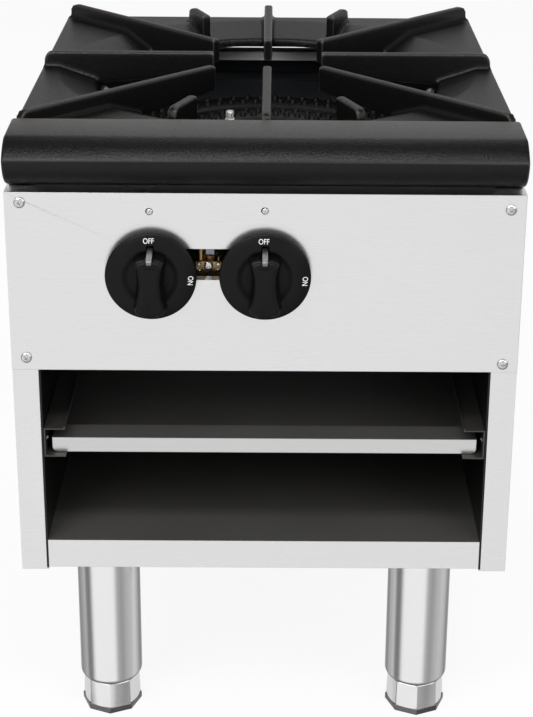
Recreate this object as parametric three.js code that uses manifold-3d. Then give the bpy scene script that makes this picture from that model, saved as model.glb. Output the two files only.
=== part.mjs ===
// Stock pot range: a free-standing gas boiling stove on four adjustable legs.
// Millimetres. x runs to the right, y to the back, z up from the floor.
// While the pieces are made, y = 0 is the front face of the control panel.

import * as THREE from 'three';
import { mergeVertices } from 'three/addons/utils/BufferGeometryUtils.js';
import Module from 'manifold-3d';

const wasm = await Module();
wasm.setup();

// ---------------------------------------------------------------- driving dimensions

// Fits and sheet metal
const fit = 0.3;                    // gap left between pieces that touch
const sheet = 1.5;                  // cabinet sheet
const barThickness = 2;             // crossbars and base channels

// Cabinet
const cabinetWidth = 457.2;
const cabinetDepth = 508;
const cabinetHeight = 382;
const floorClearance = 174;         // underside of the cabinet above the floor
const flange = 25.4;                // width of the sides' front and top flanges
const returnLip = 12;               // small returns folded behind a visible edge
const shelfRise = 31.3;             // top of the bottom shelf above the underside
const shelfLipRise = 2.5;           // lower edge of the shelf's front lip
const beadDepth = 1.5;              // pressed stiffening bead across the back
const beadHeight = 9;
const beadDrop = 38;                // lower edge of the bead below the cabinet's top
const backFlange = 20;
const backLip = 10;

// Control panel
const panelHeight = 169.4;
const panelDrop = 5;                // panel's top below the cabinet's top
const panelLedge = 22;              // depth of the panel's top flange
const ledgeClearance = 2.3;         // from that flange to the parts behind it
const panelScrewInset = 13.6;       // from the panel's side edges
const panelScrewDrop = [9.5, 13.5]; // upper screws under the panel's top, left and right
const panelScrewPitch = 147.8;      // lower screws under the upper ones
const screwShank = 2.1;
const screwHead = 5;
const screwHeadHeight = 2.4;
const screwLength = 10;
const screwHoleClearance = 0.5;
const slotPastKnob = 15;            // each end of the slot past the outer knobs' axes
const slotHeight = 29;
const slotCorner = 8;
const slotBelowStem = 6;            // slot's lower edge under the stems' axis
const slotLipDepth = 8;             // lower edge of the slot folded back

// Knobs and valves
const knobX = [-101, 0];
const stemDrop = 75;                // stems below the panel's top
const knobDiameter = 81;
const knobStandoff = 3;             // back of the dial in front of the panel
const knobRim = 6;                  // thickness of the dial at its rim
const knobDome = 4;                 // rise of the dial from its rim to the grip
const knobWall = 2.5;
const knobDish = 0.45;              // part of the radius where the dome is level
const knobShoulder = 0.8;           // part of the radius where the dome meets the rim
const gripTop = 25.5;               // grip bar above and below the axis
const gripBottom = 30.5;
const gripTopHalf = 12.5;
const gripWaistHalf = 9.6;
const gripEndRound = 3;             // fall of the bar's ends towards its sides
const gripBottomHalf = 13.5;
const gripReach = 30;               // front of the grip in front of the panel
const gripFlare = 1.6;
const hubRadius = 9;
const indicatorWidth = 5;
const indicatorLength = 13;
const indicatorDepth = 9;
const indicatorProud = 0.6;         // before the grip
const indicatorOver = 2;            // its top above the grip's
const stemSink = 8;                 // end of the stem behind the grip's front
const stemRadius = 4;
const stemFlat = 2.8;               // flat of the stem from its axis
const valveFront = 14;
const valveBodyRadius = 9;
const valveCollar = 8;
const valveCollarAcross = 22;       // across corners
const valveLength = 44;
const valveBore = 16;               // depth of the stem's bore
const inletRadius = 7;
const orificeAcross = 16;
const orificeHex = 10;
const orificeLength = 20.5;
const orificeTip = 4;
const orificeDrill = 1.2;

// Gas pipe
const pipeRadius = 10.65;
const pipeBore = 7.9;
const pipeY = 50;
const pipeDrop = 46;                // pipe's axis below the stems' axis
const pipePastKnob = 49;            // left end of the pipe past the left knob's axis
const inletInset = 63.6;            // pipe's rear run from the cabinet's right side
const pipeBend = 28;
const bossRadius = 8.5;
const bossRise = 3.4;
const capAcross = 30;
const capLength = 18;
const capWall = 6;
const couplingAcross = 33;
const couplingLength = 16;
const pipeHoleClearance = 2;
const bracketPastKnob = [23, 60];   // brackets outside the left and right knobs
const bracketWidth = 20;
const bracketDrop = 24;

// Pilot
const pilotLeftOfKnob = 51;         // pilot valve left of the right knob
const pilotWidth = 24;
const pilotFront = 20;
const pilotBodyHeight = 14;
const pilotBodyRise = 4;            // top of the pilot valve above the stems' axis
const pilotTubeRadius = 3;
const pilotTubeDrop = 3;            // its axis below the stems' axis
const pilotTubeBend = 14;
const pilotBearing = 130;           // degrees round the burner's centre
const pilotFittings = [[8, 7, 4.5, 14], [-4, 10, 6.5, 6]]; // aside, behind, radius, height
const pilotScrewRadius = 4;
const pilotHeadRadius = 4.5;
const pilotHeadRise = 10;           // above the burner's ports
const pilotHeadLength = 29;

// Burners
const burnerDrop = 36;              // tips of the ports below the cabinet's top
const ringHeight = 20;
const portRise = 4;
const portRadius = 3.2;
const ringChamfer = 3;
const ringWall = 5;
const burnerSideClearance = 44.9;   // outer ring from the bay's side
const ringWidths = [38, 32, 28];    // outer, middle and inner ring
const ringGaps = [16, 20];
const portRowInset = [[12, 28], [10, 22], [9, 19]]; // rows from each ring's inner edge
const portCounts = [[36, 36], [26, 26], [10, 14]];
const ringSteps = [36, 26, 16];      // facets round each ring
const channelSteps = [20, 14, 8];
const spokeWidth = 18;
const spokeHeight = 13;
const spokeRoof = 3;
const crossbarInset = 8;            // crossbars inside the middle ring's middle line
const crossbarWidth = 20;
const crossbarRingClearance = 20;
const crossbarEndDrop = 16;         // end flanges below the cabinet's top
const crossbarTab = 14;
const postHeight = 38;
const postSize = 12;
const mixerRadius = 13;
const mixerBore = 10.5;
const mixerFront = 80;
const bellRadius = 17;
const bellLength = 7.5;
const bellPlate = 2;
const bellHole = 6.5;
const windowInner = 8;
const windowOuter = 14.5;
const windowAngle = 75;             // degrees, two windows
const shutterThickness = 1.6;
const baffleY = 88;
const baffleFlange = 14;
const baffleTopDrop = 16;
const mixerHoleClearance = 2.5;

// Drip tray and its rails
const trayRise = 89;                // underside of the tray above the shelf
const trayHeight = 14.8;
const traySideClearance = 4.9;      // tray from each rail's web
const trayFront = 9;
const trayDepth = 471;
const trayLedge = 26;
const trayCorner = 5;
const railHeight = 29.2;
const railFlange = 19.9;
const railCurl = 2.5;
const railDepth = 490;

// Nosing
const nosingFront = 16;             // front of the nosing before the panel
const nosingHeight = 44.7;
const nosingFall = 1;               // its top slopes down to the front
const nosingShoulder = 4;           // where the top starts to round over
const nosingNose = 28.7;            // height of the foremost line above its underside
const nosingFoot = 11;              // front of the flat underside
const nosingWall = 8;
const nosingInset = 1.6;            // each end inside the cabinet's width
const nosingEdge = 2.5;

// Grate
const grateFront = 58.4;
const grateRise = 34;               // rim's top above the cabinet's top
const grateRim = 8;
const bowlCreaseInset = 16.6;       // top of the bowl from the grate's edge
const bowlWidth = 37.5;
const bowlSteps = 52;               // facets round the bowl
const bowlDrop = 13;
const bowlLip = 8.4;
const bowlLipTaper = 1.5;
const finRise = 16;                 // fins above the rim
const finThickness = 9;
const finRound = 9;
const finStart = [54.5, 76];        // inner ends of the straight and diagonal fins
const finEndInset = [1.8, 8.8];     // outer ends from the edge and from the corner
const shortFinStart = 3.5;          // past the bowl's edge
const shortFinInset = 2.6;
const shortFinAngle = 22.5;         // degrees from the y axis
const finTipDepth = 23.5;           // height of a fin at the inner radius below
const finTipRadius = 50;
const finRootDrop = 17;             // fins' lower edge at the bowl below the rim

// Legs and feet
const legSideInset = 77.1;          // from the cabinet's sides
const legInset = 46.6;              // from the front and from the back
const legRadius = 30.25;
const legWall = 1.6;
const legRound = 6;
const legRoundStart = 300;          // degrees, where its lower end starts to round
const legSpace = 1.4;               // base channel's walls from the leg
const footHeight = 33;
const footTopRadius = 27.2;
const footBottomRadius = 28.2;
const footPlateRadius = 29.3;
const footPlate = 7;
const studRadius = 8;
const studLength = 60;
const studClearance = 0.4;
const socketWall = 5.5;
const socketHeight = 29;

// ---------------------------------------------------------------- derived places

const half = cabinetWidth / 2;
const linerFace = half - flange;
const linerBack = linerFace + sheet;
const bayHalf = linerFace - fit;
const cabinetTop = floorClearance + cabinetHeight;
const panelTop = cabinetTop - panelDrop;
const panelBottom = panelTop - panelHeight;
const sideFront = sheet + fit;
const sideBack = cabinetDepth - sheet - fit;
const notchBack = panelLedge + ledgeClearance;
const notchTop = panelTop - sheet - fit;
const shelfTop = floorClearance + shelfRise;
const panelScrewX = half - panelScrewInset;
const slotLeft = knobX[0] - slotPastKnob;
const slotRight = knobX[1] + slotPastKnob;
const pilotX = knobX[1] - pilotLeftOfKnob;
const pipeLeft = knobX[0] - pipePastKnob;
const pipeTurnX = half - inletInset;
const bracketX = [knobX[0] - bracketPastKnob[0], knobX[1] + bracketPastKnob[1]];
const legX = half - legSideInset;
const stemZ = panelTop - stemDrop;
const slotBottom = stemZ - slotBelowStem;
const pipeZ = stemZ - pipeDrop;
const grateSize = cabinetWidth;
const centreY = grateFront + grateSize / 2;
const grateTop = cabinetTop + grateRise;
const bowlCrease = grateSize / 2 - bowlCreaseInset;
const bowlEdge = bowlCrease - bowlWidth;
const straightFin = [finStart[0], grateSize / 2 - finEndInset[0]];
const diagonalFin = [finStart[1], grateSize / Math.SQRT2 - finEndInset[1]];
const shortFin = [bowlEdge + shortFinStart, grateSize / 2 - shortFinInset];
const outerRing = [bayHalf - burnerSideClearance - ringWidths[0], bayHalf - burnerSideClearance];
const middleRing = [outerRing[0] - ringGaps[0] - ringWidths[1], outerRing[0] - ringGaps[0]];
const innerRing = [middleRing[0] - ringGaps[1] - ringWidths[2], middleRing[0] - ringGaps[1]];
const middleOf = ([inner, outer]) => (inner + outer) / 2;
const crossbarOffset = middleOf(middleRing) - crossbarInset;
const crossbarLegX = outerRing[1] + crossbarRingClearance;
const burnerTop = cabinetTop - burnerDrop;
const ringTop = burnerTop - portRise;
const ringBottom = ringTop - ringHeight;
const postBottom = ringBottom - postHeight;
const crossbarTop = postBottom - fit;
const trayWidth = 2 * (bayHalf - sheet - traySideClearance);
const trayBottom = shelfTop + trayRise;
const trayTop = trayBottom + trayHeight;
const screwZ = panelScrewDrop.map((drop) => [panelTop - drop, panelTop - drop - panelScrewPitch]);

// ---------------------------------------------------------------- shape helpers

const roundSteps = 16;
const xAxis = new THREE.Vector3(1, 0, 0);
const yAxis = new THREE.Vector3(0, 1, 0);
const zAxis = new THREE.Vector3(0, 0, 1);
const forwards = new THREE.Vector3(0, -1, 0);
const downwards = new THREE.Vector3(0, 0, -1);
const outlineAlongX = new THREE.Matrix4().makeBasis(yAxis, zAxis, xAxis);
const outlineAlongY = new THREE.Matrix4().makeBasis(xAxis, zAxis, forwards);
const latheAlongX = new THREE.Matrix4().makeBasis(yAxis, xAxis, downwards);

// A closed geometry as a solid that can be joined and cut.
function solid(geometry) {
  const bare = geometry.index ? geometry.toNonIndexed() : geometry.clone();
  bare.deleteAttribute('normal');
  bare.deleteAttribute('uv');
  const merged = mergeVertices(bare, 1e-4);
  const corners = merged.index.array;
  const kept = [];
  for (let i = 0; i < corners.length; i += 3) {
    const [a, b, c] = [corners[i], corners[i + 1], corners[i + 2]];
    if (a !== b && b !== c && c !== a) kept.push(a, b, c);
  }
  return new wasm.Manifold(new wasm.Mesh({
    numProp: 3,
    vertProperties: new Float32Array(merged.attributes.position.array),
    triVerts: new Uint32Array(kept),
  }));
}

function join(...pieces) {
  return pieces.flat().reduce((whole, piece) => whole.add(piece));
}

function cut(body, ...tools) {
  return tools.flat().reduce((rest, tool) => rest.subtract(tool), body);
}

function block([x0, x1], [y0, y1], [z0, z1]) {
  const box = new THREE.BoxGeometry(Math.abs(x1 - x0), y1 - y0, z1 - z0);
  return solid(box.translate((x0 + x1) / 2, (y0 + y1) / 2, (z0 + z1) / 2));
}

function outline(points) {
  return new THREE.Shape(points.map(([a, b]) => new THREE.Vector2(a, b)));
}

// A flat outline swept along an axis; the outline is drawn in the other two axes.
function prism(shape, axis, from, to) {
  const body = new THREE.ExtrudeGeometry(shape, {
    depth: to - from,
    bevelEnabled: false,
    curveSegments: 6,
  });
  if (axis === 'x') body.applyMatrix4(outlineAlongX).translate(from, 0, 0);
  if (axis === 'y') body.applyMatrix4(outlineAlongY).translate(0, to, 0);
  if (axis === 'z') body.translate(0, 0, from);
  return solid(body);
}

// A [radius, height] profile turned about an axis through the given point.
function turned(profile, axis, [x, y, z] = [0, 0, 0], steps = roundSteps) {
  const closed = profile[0][0] > 0 ? [...profile, profile[0]] : profile;
  const points = closed.map(([r, h]) => new THREE.Vector2(r, h));
  const body = new THREE.LatheGeometry(points, steps);
  if (axis === 'x') body.applyMatrix4(latheAlongX);
  if (axis === 'z') body.applyMatrix4(outlineAlongY);
  return solid(body.translate(x, y, z));
}

function rod(axis, radius, from, to, centre, steps = roundSteps) {
  return turned([[0, from], [radius, from], [radius, to], [0, to]], axis, centre, steps);
}

// Points on an elliptical arc, angles in degrees, both ends included.
function arc([a, b], [ra, rb], from, to, steps = 4) {
  return Array.from({ length: steps + 1 }, (_, i) => {
    const angle = THREE.MathUtils.degToRad(from + (to - from) * i / steps);
    return [a + ra * Math.cos(angle), b + rb * Math.sin(angle)];
  });
}

// The outline of a bent sheet from the centre line of its section, with mitred corners.
function sheetOutline(line, thickness) {
  const sideAt = (i) => {
    const [a, b] = [line[i], line[i + 1]];
    const length = Math.hypot(b[0] - a[0], b[1] - a[1]);
    return [-(b[1] - a[1]) / length, (b[0] - a[0]) / length];
  };
  const shifted = (i, amount) => {
    const before = sideAt(Math.max(i - 1, 0));
    const after = sideAt(Math.min(i, line.length - 2));
    const scale = amount / (1 + before[0] * after[0] + before[1] * after[1]);
    return [
      line[i][0] + (before[0] + after[0]) * scale,
      line[i][1] + (before[1] + after[1]) * scale,
    ];
  };
  const there = line.map((_, i) => shifted(i, thickness / 2));
  const back = line.map((_, i) => shifted(i, -thickness / 2)).reverse();
  return outline([...there, ...back]);
}

// A route of straight legs with a bend at each corner, measured in stations along it.
class BentRoute extends THREE.Curve {
  constructor(corners, bend, bendSteps = 5) {
    super();
    this.stations = [];
    const points = corners.map((corner) => new THREE.Vector3(...corner));
    const heading = (i) => points[i + 1].clone().sub(points[i]).normalize();
    this.stations.push([points[0], heading(0)]);
    for (let i = 1; i < points.length - 1; i += 1) {
      const enter = points[i].clone().addScaledVector(heading(i - 1), -bend);
      const leave = points[i].clone().addScaledVector(heading(i), bend);
      const curve = new THREE.QuadraticBezierCurve3(enter, points[i], leave);
      for (let k = 0; k <= bendSteps; k += 1) {
        this.stations.push([curve.getPoint(k / bendSteps), curve.getTangent(k / bendSteps)]);
      }
    }
    this.stations.push([points.at(-1), heading(points.length - 2)]);
  }

  get steps() {
    return this.stations.length - 1;
  }

  getPointAt(u) {
    return this.stations[Math.round(u * this.steps)][0].clone();
  }

  getTangentAt(u) {
    return this.stations[Math.round(u * this.steps)][1].clone();
  }
}

// A round bar along a bent route.
function pipeRun(corners, radius, bend, sidesOfPipe = 12) {
  const section = new THREE.Shape();
  section.absarc(0, 0, radius, 0, 2 * Math.PI);
  const route = new BentRoute(corners, bend);
  return solid(new THREE.ExtrudeGeometry(section, {
    extrudePath: route,
    steps: route.steps,
    curveSegments: sidesOfPipe / 2,
    bevelEnabled: false,
  }));
}

// ---------------------------------------------------------------- finishes

const finishes = {
  stainless: { color: 0xd8d8d6, roughness: 0.34, metalness: 1 },
  galvanised: { color: 0x8f9294, roughness: 0.5, metalness: 1 },
  castIron: { color: 0x2a2a28, roughness: 0.72, metalness: 0.3 },
  phenolic: { color: 0x4a4a4c, roughness: 0.45, metalness: 0 },
  brass: { color: 0xb59a5b, roughness: 0.35, metalness: 1 },
  steelPipe: { color: 0x3a3a3c, roughness: 0.55, metalness: 0.8 },
  aluminium: { color: 0xb8babc, roughness: 0.4, metalness: 1 },
  chrome: { color: 0xe6e6e6, roughness: 0.12, metalness: 1 },
  footGrey: { color: 0x6f7072, roughness: 0.5, metalness: 0.6 },
};

const range = new THREE.Group();

function part(name, body, finish) {
  const { vertProperties, triVerts } = body.getMesh();
  const geometry = new THREE.BufferGeometry();
  geometry.setAttribute('position', new THREE.BufferAttribute(vertProperties, 3));
  geometry.setIndex(new THREE.BufferAttribute(triVerts, 1));
  geometry.computeVertexNormals();
  const mesh = new THREE.Mesh(geometry, new THREE.MeshStandardMaterial(finishes[finish]));
  mesh.name = name;
  range.add(mesh);
}

const sides = [['left', -1], ['right', 1]];

// ---------------------------------------------------------------- cabinet

function screwHoles(side) {
  const x = side * panelScrewX;
  return screwZ[side > 0 ? 1 : 0].map((z) => rod('y', screwShank + screwHoleClearance,
    -1, sheet * 4, [x, 0, z], 12));
}

function sidePanel(side) {
  const lipX = linerBack + fit + sheet / 2;
  const skinX = half - sheet / 2;
  const frontY = sideFront + sheet / 2;
  const plan = [[lipX, frontY + returnLip], [lipX, frontY], [skinX, frontY], [skinX, sideBack]];
  const skin = prism(sheetOutline(plan.map(([x, y]) => [side * x, y]), sheet), 'z',
    floorClearance, notchTop);
  const acrossFlange = [side * linerFace, side * half];
  const upperSkin = block([side * (half - sheet), side * half], [notchBack, sideBack],
    [notchTop - sheet, cabinetTop]);
  const topFlange = block(acrossFlange, [notchBack, sideBack], [cabinetTop - sheet, cabinetTop]);
  const bottomFlange = block(acrossFlange, [sideFront, sideBack],
    [floorClearance, floorClearance + sheet]);
  return cut(join(skin, upperSkin, topFlange, bottomFlange), screwHoles(side));
}

function innerLiner(side) {
  const bottom = floorClearance + sheet + fit;
  const top = cabinetTop - sheet - fit;
  const face = outline([
    [sideFront, bottom], [sideBack, bottom], [sideBack, top],
    [notchBack, top], [notchBack, notchTop], [sideFront, notchTop],
  ]);
  const across = [side * linerFace, side * linerBack].sort((a, b) => a - b);
  return prism(face, 'x', ...across);
}

function backPanel() {
  const y = cabinetDepth - sheet / 2;
  const beadY = y + beadDepth;
  const beadBottom = cabinetTop - beadDrop;
  const beadTop = beadBottom + beadHeight;
  const top = cabinetTop - sheet / 2;
  const lipY = cabinetDepth - backFlange + sheet / 2;
  const section = [
    [y, floorClearance], [y, beadBottom - beadDepth], [beadY, beadBottom],
    [beadY, beadTop], [y, beadTop + beadDepth], [y, top], [lipY, top], [lipY, cabinetTop - backLip],
  ];
  const panel = prism(sheetOutline(section, sheet), 'x', -half, half);
  const corners = sides.map(([, side]) => block([side * bayHalf, side * (half + 1)],
    [lipY - sheet, cabinetDepth - sheet], [cabinetTop - 2 * backLip, cabinetTop + 1]));
  const pipeHole = rod('y', pipeRadius + pipeHoleClearance, sideBack, cabinetDepth + 1,
    [pipeTurnX, 0, pipeZ]);
  return cut(panel, corners, pipeHole);
}

function bottomShelf() {
  const front = sideFront + sheet / 2;
  const back = sideBack - sheet / 2;
  const lipZ = floorClearance + shelfLipRise + sheet / 2;
  const z = shelfTop - sheet / 2;
  const section = [
    [front + returnLip, lipZ], [front, lipZ], [front, z], [back, z], [back, z - returnLip],
  ];
  return prism(sheetOutline(section, sheet), 'x', -bayHalf, bayHalf);
}

function baseChannel(y) {
  const reach = legRadius + legSpace - barThickness / 2;
  const top = shelfTop - sheet - fit;
  const z = floorClearance + barThickness / 2;
  const section = [[y - reach, top], [y - reach, z], [y + reach, z], [y + reach, top]];
  return prism(sheetOutline(section, barThickness), 'x', -bayHalf, bayHalf);
}

function controlPanel() {
  const y = sheet / 2;
  const section = [
    [y + returnLip, panelBottom + y], [y, panelBottom + y],
    [y, panelTop - y], [panelLedge, panelTop - y],
  ];
  const face = prism(sheetOutline(section, sheet), 'x', -half, half);
  const corners = sides.map(([, side]) => block([side * bayHalf, side * (half + 1)],
    [sheet, returnLip * 2], [panelBottom - 1, panelBottom + 2 * sheet]));
  const slot = new THREE.Shape();
  const slotTop = slotBottom + slotHeight;
  slot.moveTo(slotLeft + slotCorner, slotBottom);
  slot.lineTo(slotRight - slotCorner, slotBottom);
  slot.absarc(slotRight - slotCorner, slotBottom + slotCorner, slotCorner, -Math.PI / 2, 0);
  slot.absarc(slotRight - slotCorner, slotTop - slotCorner, slotCorner, 0, Math.PI / 2);
  slot.absarc(slotLeft + slotCorner, slotTop - slotCorner, slotCorner, Math.PI / 2, Math.PI);
  slot.absarc(slotLeft + slotCorner, slotBottom + slotCorner, slotCorner, Math.PI, 1.5 * Math.PI);
  const lip = block([slotLeft + slotCorner, slotRight - slotCorner],
    [0, sheet + slotLipDepth], [slotBottom - sheet, slotBottom]);
  const holes = sides.map(([, side]) => screwHoles(side));
  return join(cut(face, corners, prism(slot, 'y', -1, sheet + 1), holes.flat()), lip);
}

function topFrontRail() {
  const front = notchBack + sheet / 2;
  const back = grateFront - fit - sheet / 2;
  const top = cabinetTop - sheet / 2;
  const section = [[front, top - returnLip], [front, top], [back, top], [back, top - returnLip]];
  return prism(sheetOutline(section, sheet), 'x', -bayHalf, bayHalf);
}

function burnerBaffle() {
  const y = baffleY + sheet / 2;
  const top = cabinetTop - baffleTopDrop - sheet / 2;
  const bottom = panelBottom + sheet / 2;
  const section = [[y + baffleFlange, bottom], [y, bottom], [y, top], [y + baffleFlange, top]];
  const plate = prism(sheetOutline(section, sheet), 'x', -bayHalf, bayHalf);
  const hole = (radius, x, z) => rod('y', radius, baffleY - 1, baffleY + sheet + 1, [x, 0, z]);
  return cut(plate,
    knobX.map((x) => hole(mixerRadius + mixerHoleClearance, x, stemZ)),
    hole(pilotTubeRadius * 1.5, pilotX, stemZ - pilotTubeDrop),
    hole(pipeRadius + pipeHoleClearance, pipeTurnX, pipeZ));
}

for (const [word, side] of sides) {
  part(`side_panel_${word}`, sidePanel(side), 'stainless');
  part(`inner_liner_${word}`, innerLiner(side), 'galvanised');
}
part('back_panel', backPanel(), 'stainless');
part('bottom_shelf', bottomShelf(), 'stainless');
part('base_channel_front', baseChannel(legInset), 'galvanised');
part('base_channel_rear', baseChannel(cabinetDepth - legInset), 'galvanised');
part('control_panel', controlPanel(), 'stainless');
part('top_front_rail', topFrontRail(), 'galvanised');
part('burner_baffle', burnerBaffle(), 'galvanised');

const screwProfile = [
  [0, -screwHeadHeight - fit], [screwHead * 0.7, -screwHeadHeight - fit],
  [screwHead, -fit - screwHeadHeight / 2], [screwHead, -fit], [screwShank, -fit],
  [screwShank, screwLength], [0, screwLength],
];

sides.forEach(([word, side], i) => {
  ['upper', 'lower'].forEach((row, k) => {
    const place = [side * panelScrewX, 0, screwZ[i][k]];
    part(`panel_screw_${row}_${word}`, turned(screwProfile, 'y', place, 8), 'chrome');
  });
});

// ---------------------------------------------------------------- drip tray and rails

function trayRail(side) {
  const web = bayHalf - sheet / 2;
  const tip = bayHalf - railFlange + sheet / 2;
  const low = trayBottom - fit - sheet / 2;
  const high = low + railHeight - sheet;
  const section = [
    [tip, high + railCurl], [tip, high], [web, high], [web, low], [bayHalf - railFlange, low],
  ];
  return prism(sheetOutline(section.map(([x, z]) => [side * x, z]), sheet), 'y',
    sideFront, railDepth);
}

// The tray's cross-section: flat floor, upright sides and rounded lower corners.
function troughOutline(halfWidth, bottom, top, corner) {
  return outline([
    [-halfWidth, top],
    ...arc([-halfWidth + corner, bottom + corner], [corner, corner], 180, 270, 3),
    ...arc([halfWidth - corner, bottom + corner], [corner, corner], 270, 360, 3),
    [halfWidth, top],
  ]);
}

function dripTray() {
  const halfWidth = trayWidth / 2;
  const back = trayFront + trayDepth;
  const ledgeBack = trayFront + trayLedge;
  const outside = prism(troughOutline(halfWidth, trayBottom, trayTop, trayCorner), 'y',
    trayFront, back);
  const basin = prism(
    troughOutline(halfWidth - sheet, trayBottom + sheet, trayTop + 1, trayCorner - sheet), 'y',
    ledgeBack + sheet, back - sheet);
  const fingerHollow = block([-halfWidth + trayCorner, halfWidth - trayCorner],
    [trayFront + sheet, ledgeBack], [trayBottom - 1, trayTop - sheet]);
  return cut(outside, basin, fingerHollow);
}

for (const [word, side] of sides) part(`tray_rail_${word}`, trayRail(side), 'stainless');
part('drip_tray', dripTray(), 'stainless');

// ---------------------------------------------------------------- burners

function crossbar(y) {
  const mid = crossbarTop - barThickness / 2;
  const end = cabinetTop - crossbarEndDrop - barThickness / 2;
  const wall = bayHalf - barThickness / 2;
  const right = [[crossbarLegX, mid], [crossbarLegX, end], [wall, end], [wall, end - crossbarTab]];
  const left = right.map(([x, z]) => [-x, z]).reverse();
  return prism(sheetOutline([...left, ...right], barThickness), 'y',
    y - crossbarWidth / 2, y + crossbarWidth / 2);
}

function ringBody([inner, outer], steps) {
  const c = ringChamfer;
  return turned([
    [inner, ringBottom], [outer, ringBottom], [outer, ringTop - c], [outer - c, ringTop],
    [inner + c, ringTop], [inner, ringTop - c],
  ], 'z', [0, centreY, 0], steps);
}

// The gas channel inside a ring.
function ringChannel([inner, outer], steps) {
  const [a, b] = [inner + ringWall, outer - ringWall];
  const [low, high] = [ringBottom + ringWall, ringTop - ringWall];
  return turned([[a, low], [b, low], [b, high], [a, high]], 'z', [0, centreY, 0], steps);
}

// Raised port tips in two rows round a ring; the second row is turned by half a step.
function portTips([inner], insets, counts) {
  const r = portRadius;
  const square = outline([[r, 0], [0, r], [-r, 0], [0, -r]]);
  return insets.flatMap((inset, row) => Array.from({ length: counts[row] }, (_, i) => {
    const angle = 2 * Math.PI * (i + row / 2) / counts[row];
    const tip = new THREE.ExtrudeGeometry(square, { depth: portRise + 1, bevelEnabled: false });
    tip.translate(inner + inset, 0, ringTop - 1).rotateZ(angle);
    return solid(tip.translate(0, centreY, 0));
  }));
}

function post(x, offset) {
  const s = postSize / 2;
  return block([x - s, x + s], [centreY + offset - s, centreY + offset + s],
    [postBottom, ringBottom + ringWall / 2]);
}

// Four posts under a ring's middle line, on the crossbars.
function posts(ring) {
  const x = Math.sqrt(middleOf(ring) ** 2 - crossbarOffset ** 2);
  return [[-x, -1], [x, -1], [-x, 1], [x, 1]].map(([px, s]) => post(px, s * crossbarOffset));
}

// Two opposite windows of a round plate in front of the mixing tube.
function airWindows(x, from, to, inner, outer, sweep, turn) {
  return [turn, turn + 180].map((middle) => prism(outline([
    ...arc([x, stemZ], [outer, outer], middle - sweep / 2, middle + sweep / 2, 3),
    ...arc([x, stemZ], [inner, inner], middle + sweep / 2, middle - sweep / 2, 3),
  ]), 'y', from, to));
}

// Bell mouth and mixing tube from the air shutter to the underside of a ring.
function mixingTube(x, riseY) {
  const plateBack = mixerFront + bellPlate;
  const bell = turned([
    [0, mixerFront], [bellRadius, mixerFront], [bellRadius, plateBack],
    [mixerRadius, mixerFront + bellLength], [0, mixerFront + bellLength],
  ], 'y', [x, 0, stemZ]);
  const top = ringBottom + ringWall / 2;
  const route = [[x, mixerFront + bellLength - 1, stemZ], [x, riseY, stemZ], [x, riseY, top]];
  return join(bell, pipeRun(route, mixerRadius, top - stemZ - 1));
}

function mixingBore(x, riseY) {
  const plateBack = mixerFront + bellPlate;
  const bore = bellRadius - bellPlate;
  const bell = turned([
    [0, plateBack], [bore, plateBack], [mixerBore, mixerFront + bellLength],
    [0, mixerFront + bellLength],
  ], 'y', [x, 0, stemZ]);
  const top = ringBottom + ringWall + 1;
  const route = [[x, mixerFront + bellLength - 1, stemZ], [x, riseY, stemZ], [x, riseY, top]];
  return [
    bell,
    pipeRun(route, mixerBore, ringBottom - stemZ - 1, 12),
    rod('y', bellHole, mixerFront - 1, plateBack + 1, [x, 0, stemZ], 16),
    ...airWindows(x, mixerFront - 1, plateBack + 0.5, windowInner, windowOuter, windowAngle, 90),
  ];
}

function outerBurner() {
  const x = knobX[0];
  const riseY = centreY - Math.sqrt(middleOf(outerRing) ** 2 - x ** 2);
  const casting = join(ringBody(outerRing, ringSteps[0]), posts(outerRing), mixingTube(x, riseY),
    portTips(outerRing, portRowInset[0], portCounts[0]));
  return cut(casting, ringChannel(outerRing, channelSteps[0]), mixingBore(x, riseY));
}

function spoke(angle, width, low, high, [from, to]) {
  const bar = new THREE.BoxGeometry(to - from, width, high - low);
  bar.translate((from + to) / 2, 0, (low + high) / 2).rotateZ(angle);
  return solid(bar.translate(0, centreY, 0));
}

function innerBurner() {
  const x = knobX[1];
  const riseY = centreY - middleOf(middleRing);
  const angles = [0, Math.PI, -Math.PI / 2];
  const span = [innerRing[1] - ringWall, middleRing[0] + ringWall];
  const low = ringBottom;
  const high = ringBottom + spokeHeight;
  const gasSpan = [innerRing[1] - ringWall - 1, middleRing[0] + ringWall + 1];
  const casting = join(ringBody(middleRing, ringSteps[1]), ringBody(innerRing, ringSteps[2]),
    posts(middleRing),
    angles.map((a) => spoke(a, spokeWidth, low, high, span)), mixingTube(x, riseY),
    portTips(middleRing, portRowInset[1], portCounts[1]),
    portTips(innerRing, portRowInset[2], portCounts[2]));
  const gasWidth = spokeWidth - 2 * ringWall;
  return cut(casting, ringChannel(middleRing, channelSteps[1]), ringChannel(innerRing, channelSteps[2]),
    angles.map((a) => spoke(a, gasWidth, low + ringWall, high - spokeRoof, gasSpan)),
    mixingBore(x, riseY));
}

function airShutter(x) {
  const front = mixerFront - fit - shutterThickness;
  const disc = turned([
    [bellHole, front], [bellRadius, front], [bellRadius, front + shutterThickness],
    [bellHole, front + shutterThickness],
  ], 'y', [x, 0, stemZ]);
  return cut(disc, airWindows(x, front - 1, mixerFront, windowInner, windowOuter, windowAngle, 90));
}

part('burner_crossbar_front', crossbar(centreY - crossbarOffset), 'galvanised');
part('burner_crossbar_rear', crossbar(centreY + crossbarOffset), 'galvanised');
part('outer_burner', outerBurner(), 'castIron');
part('inner_burner', innerBurner(), 'castIron');
part('air_shutter_outer', airShutter(knobX[0]), 'galvanised');
part('air_shutter_inner', airShutter(knobX[1]), 'galvanised');

// ---------------------------------------------------------------- gas pipe and valves

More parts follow.
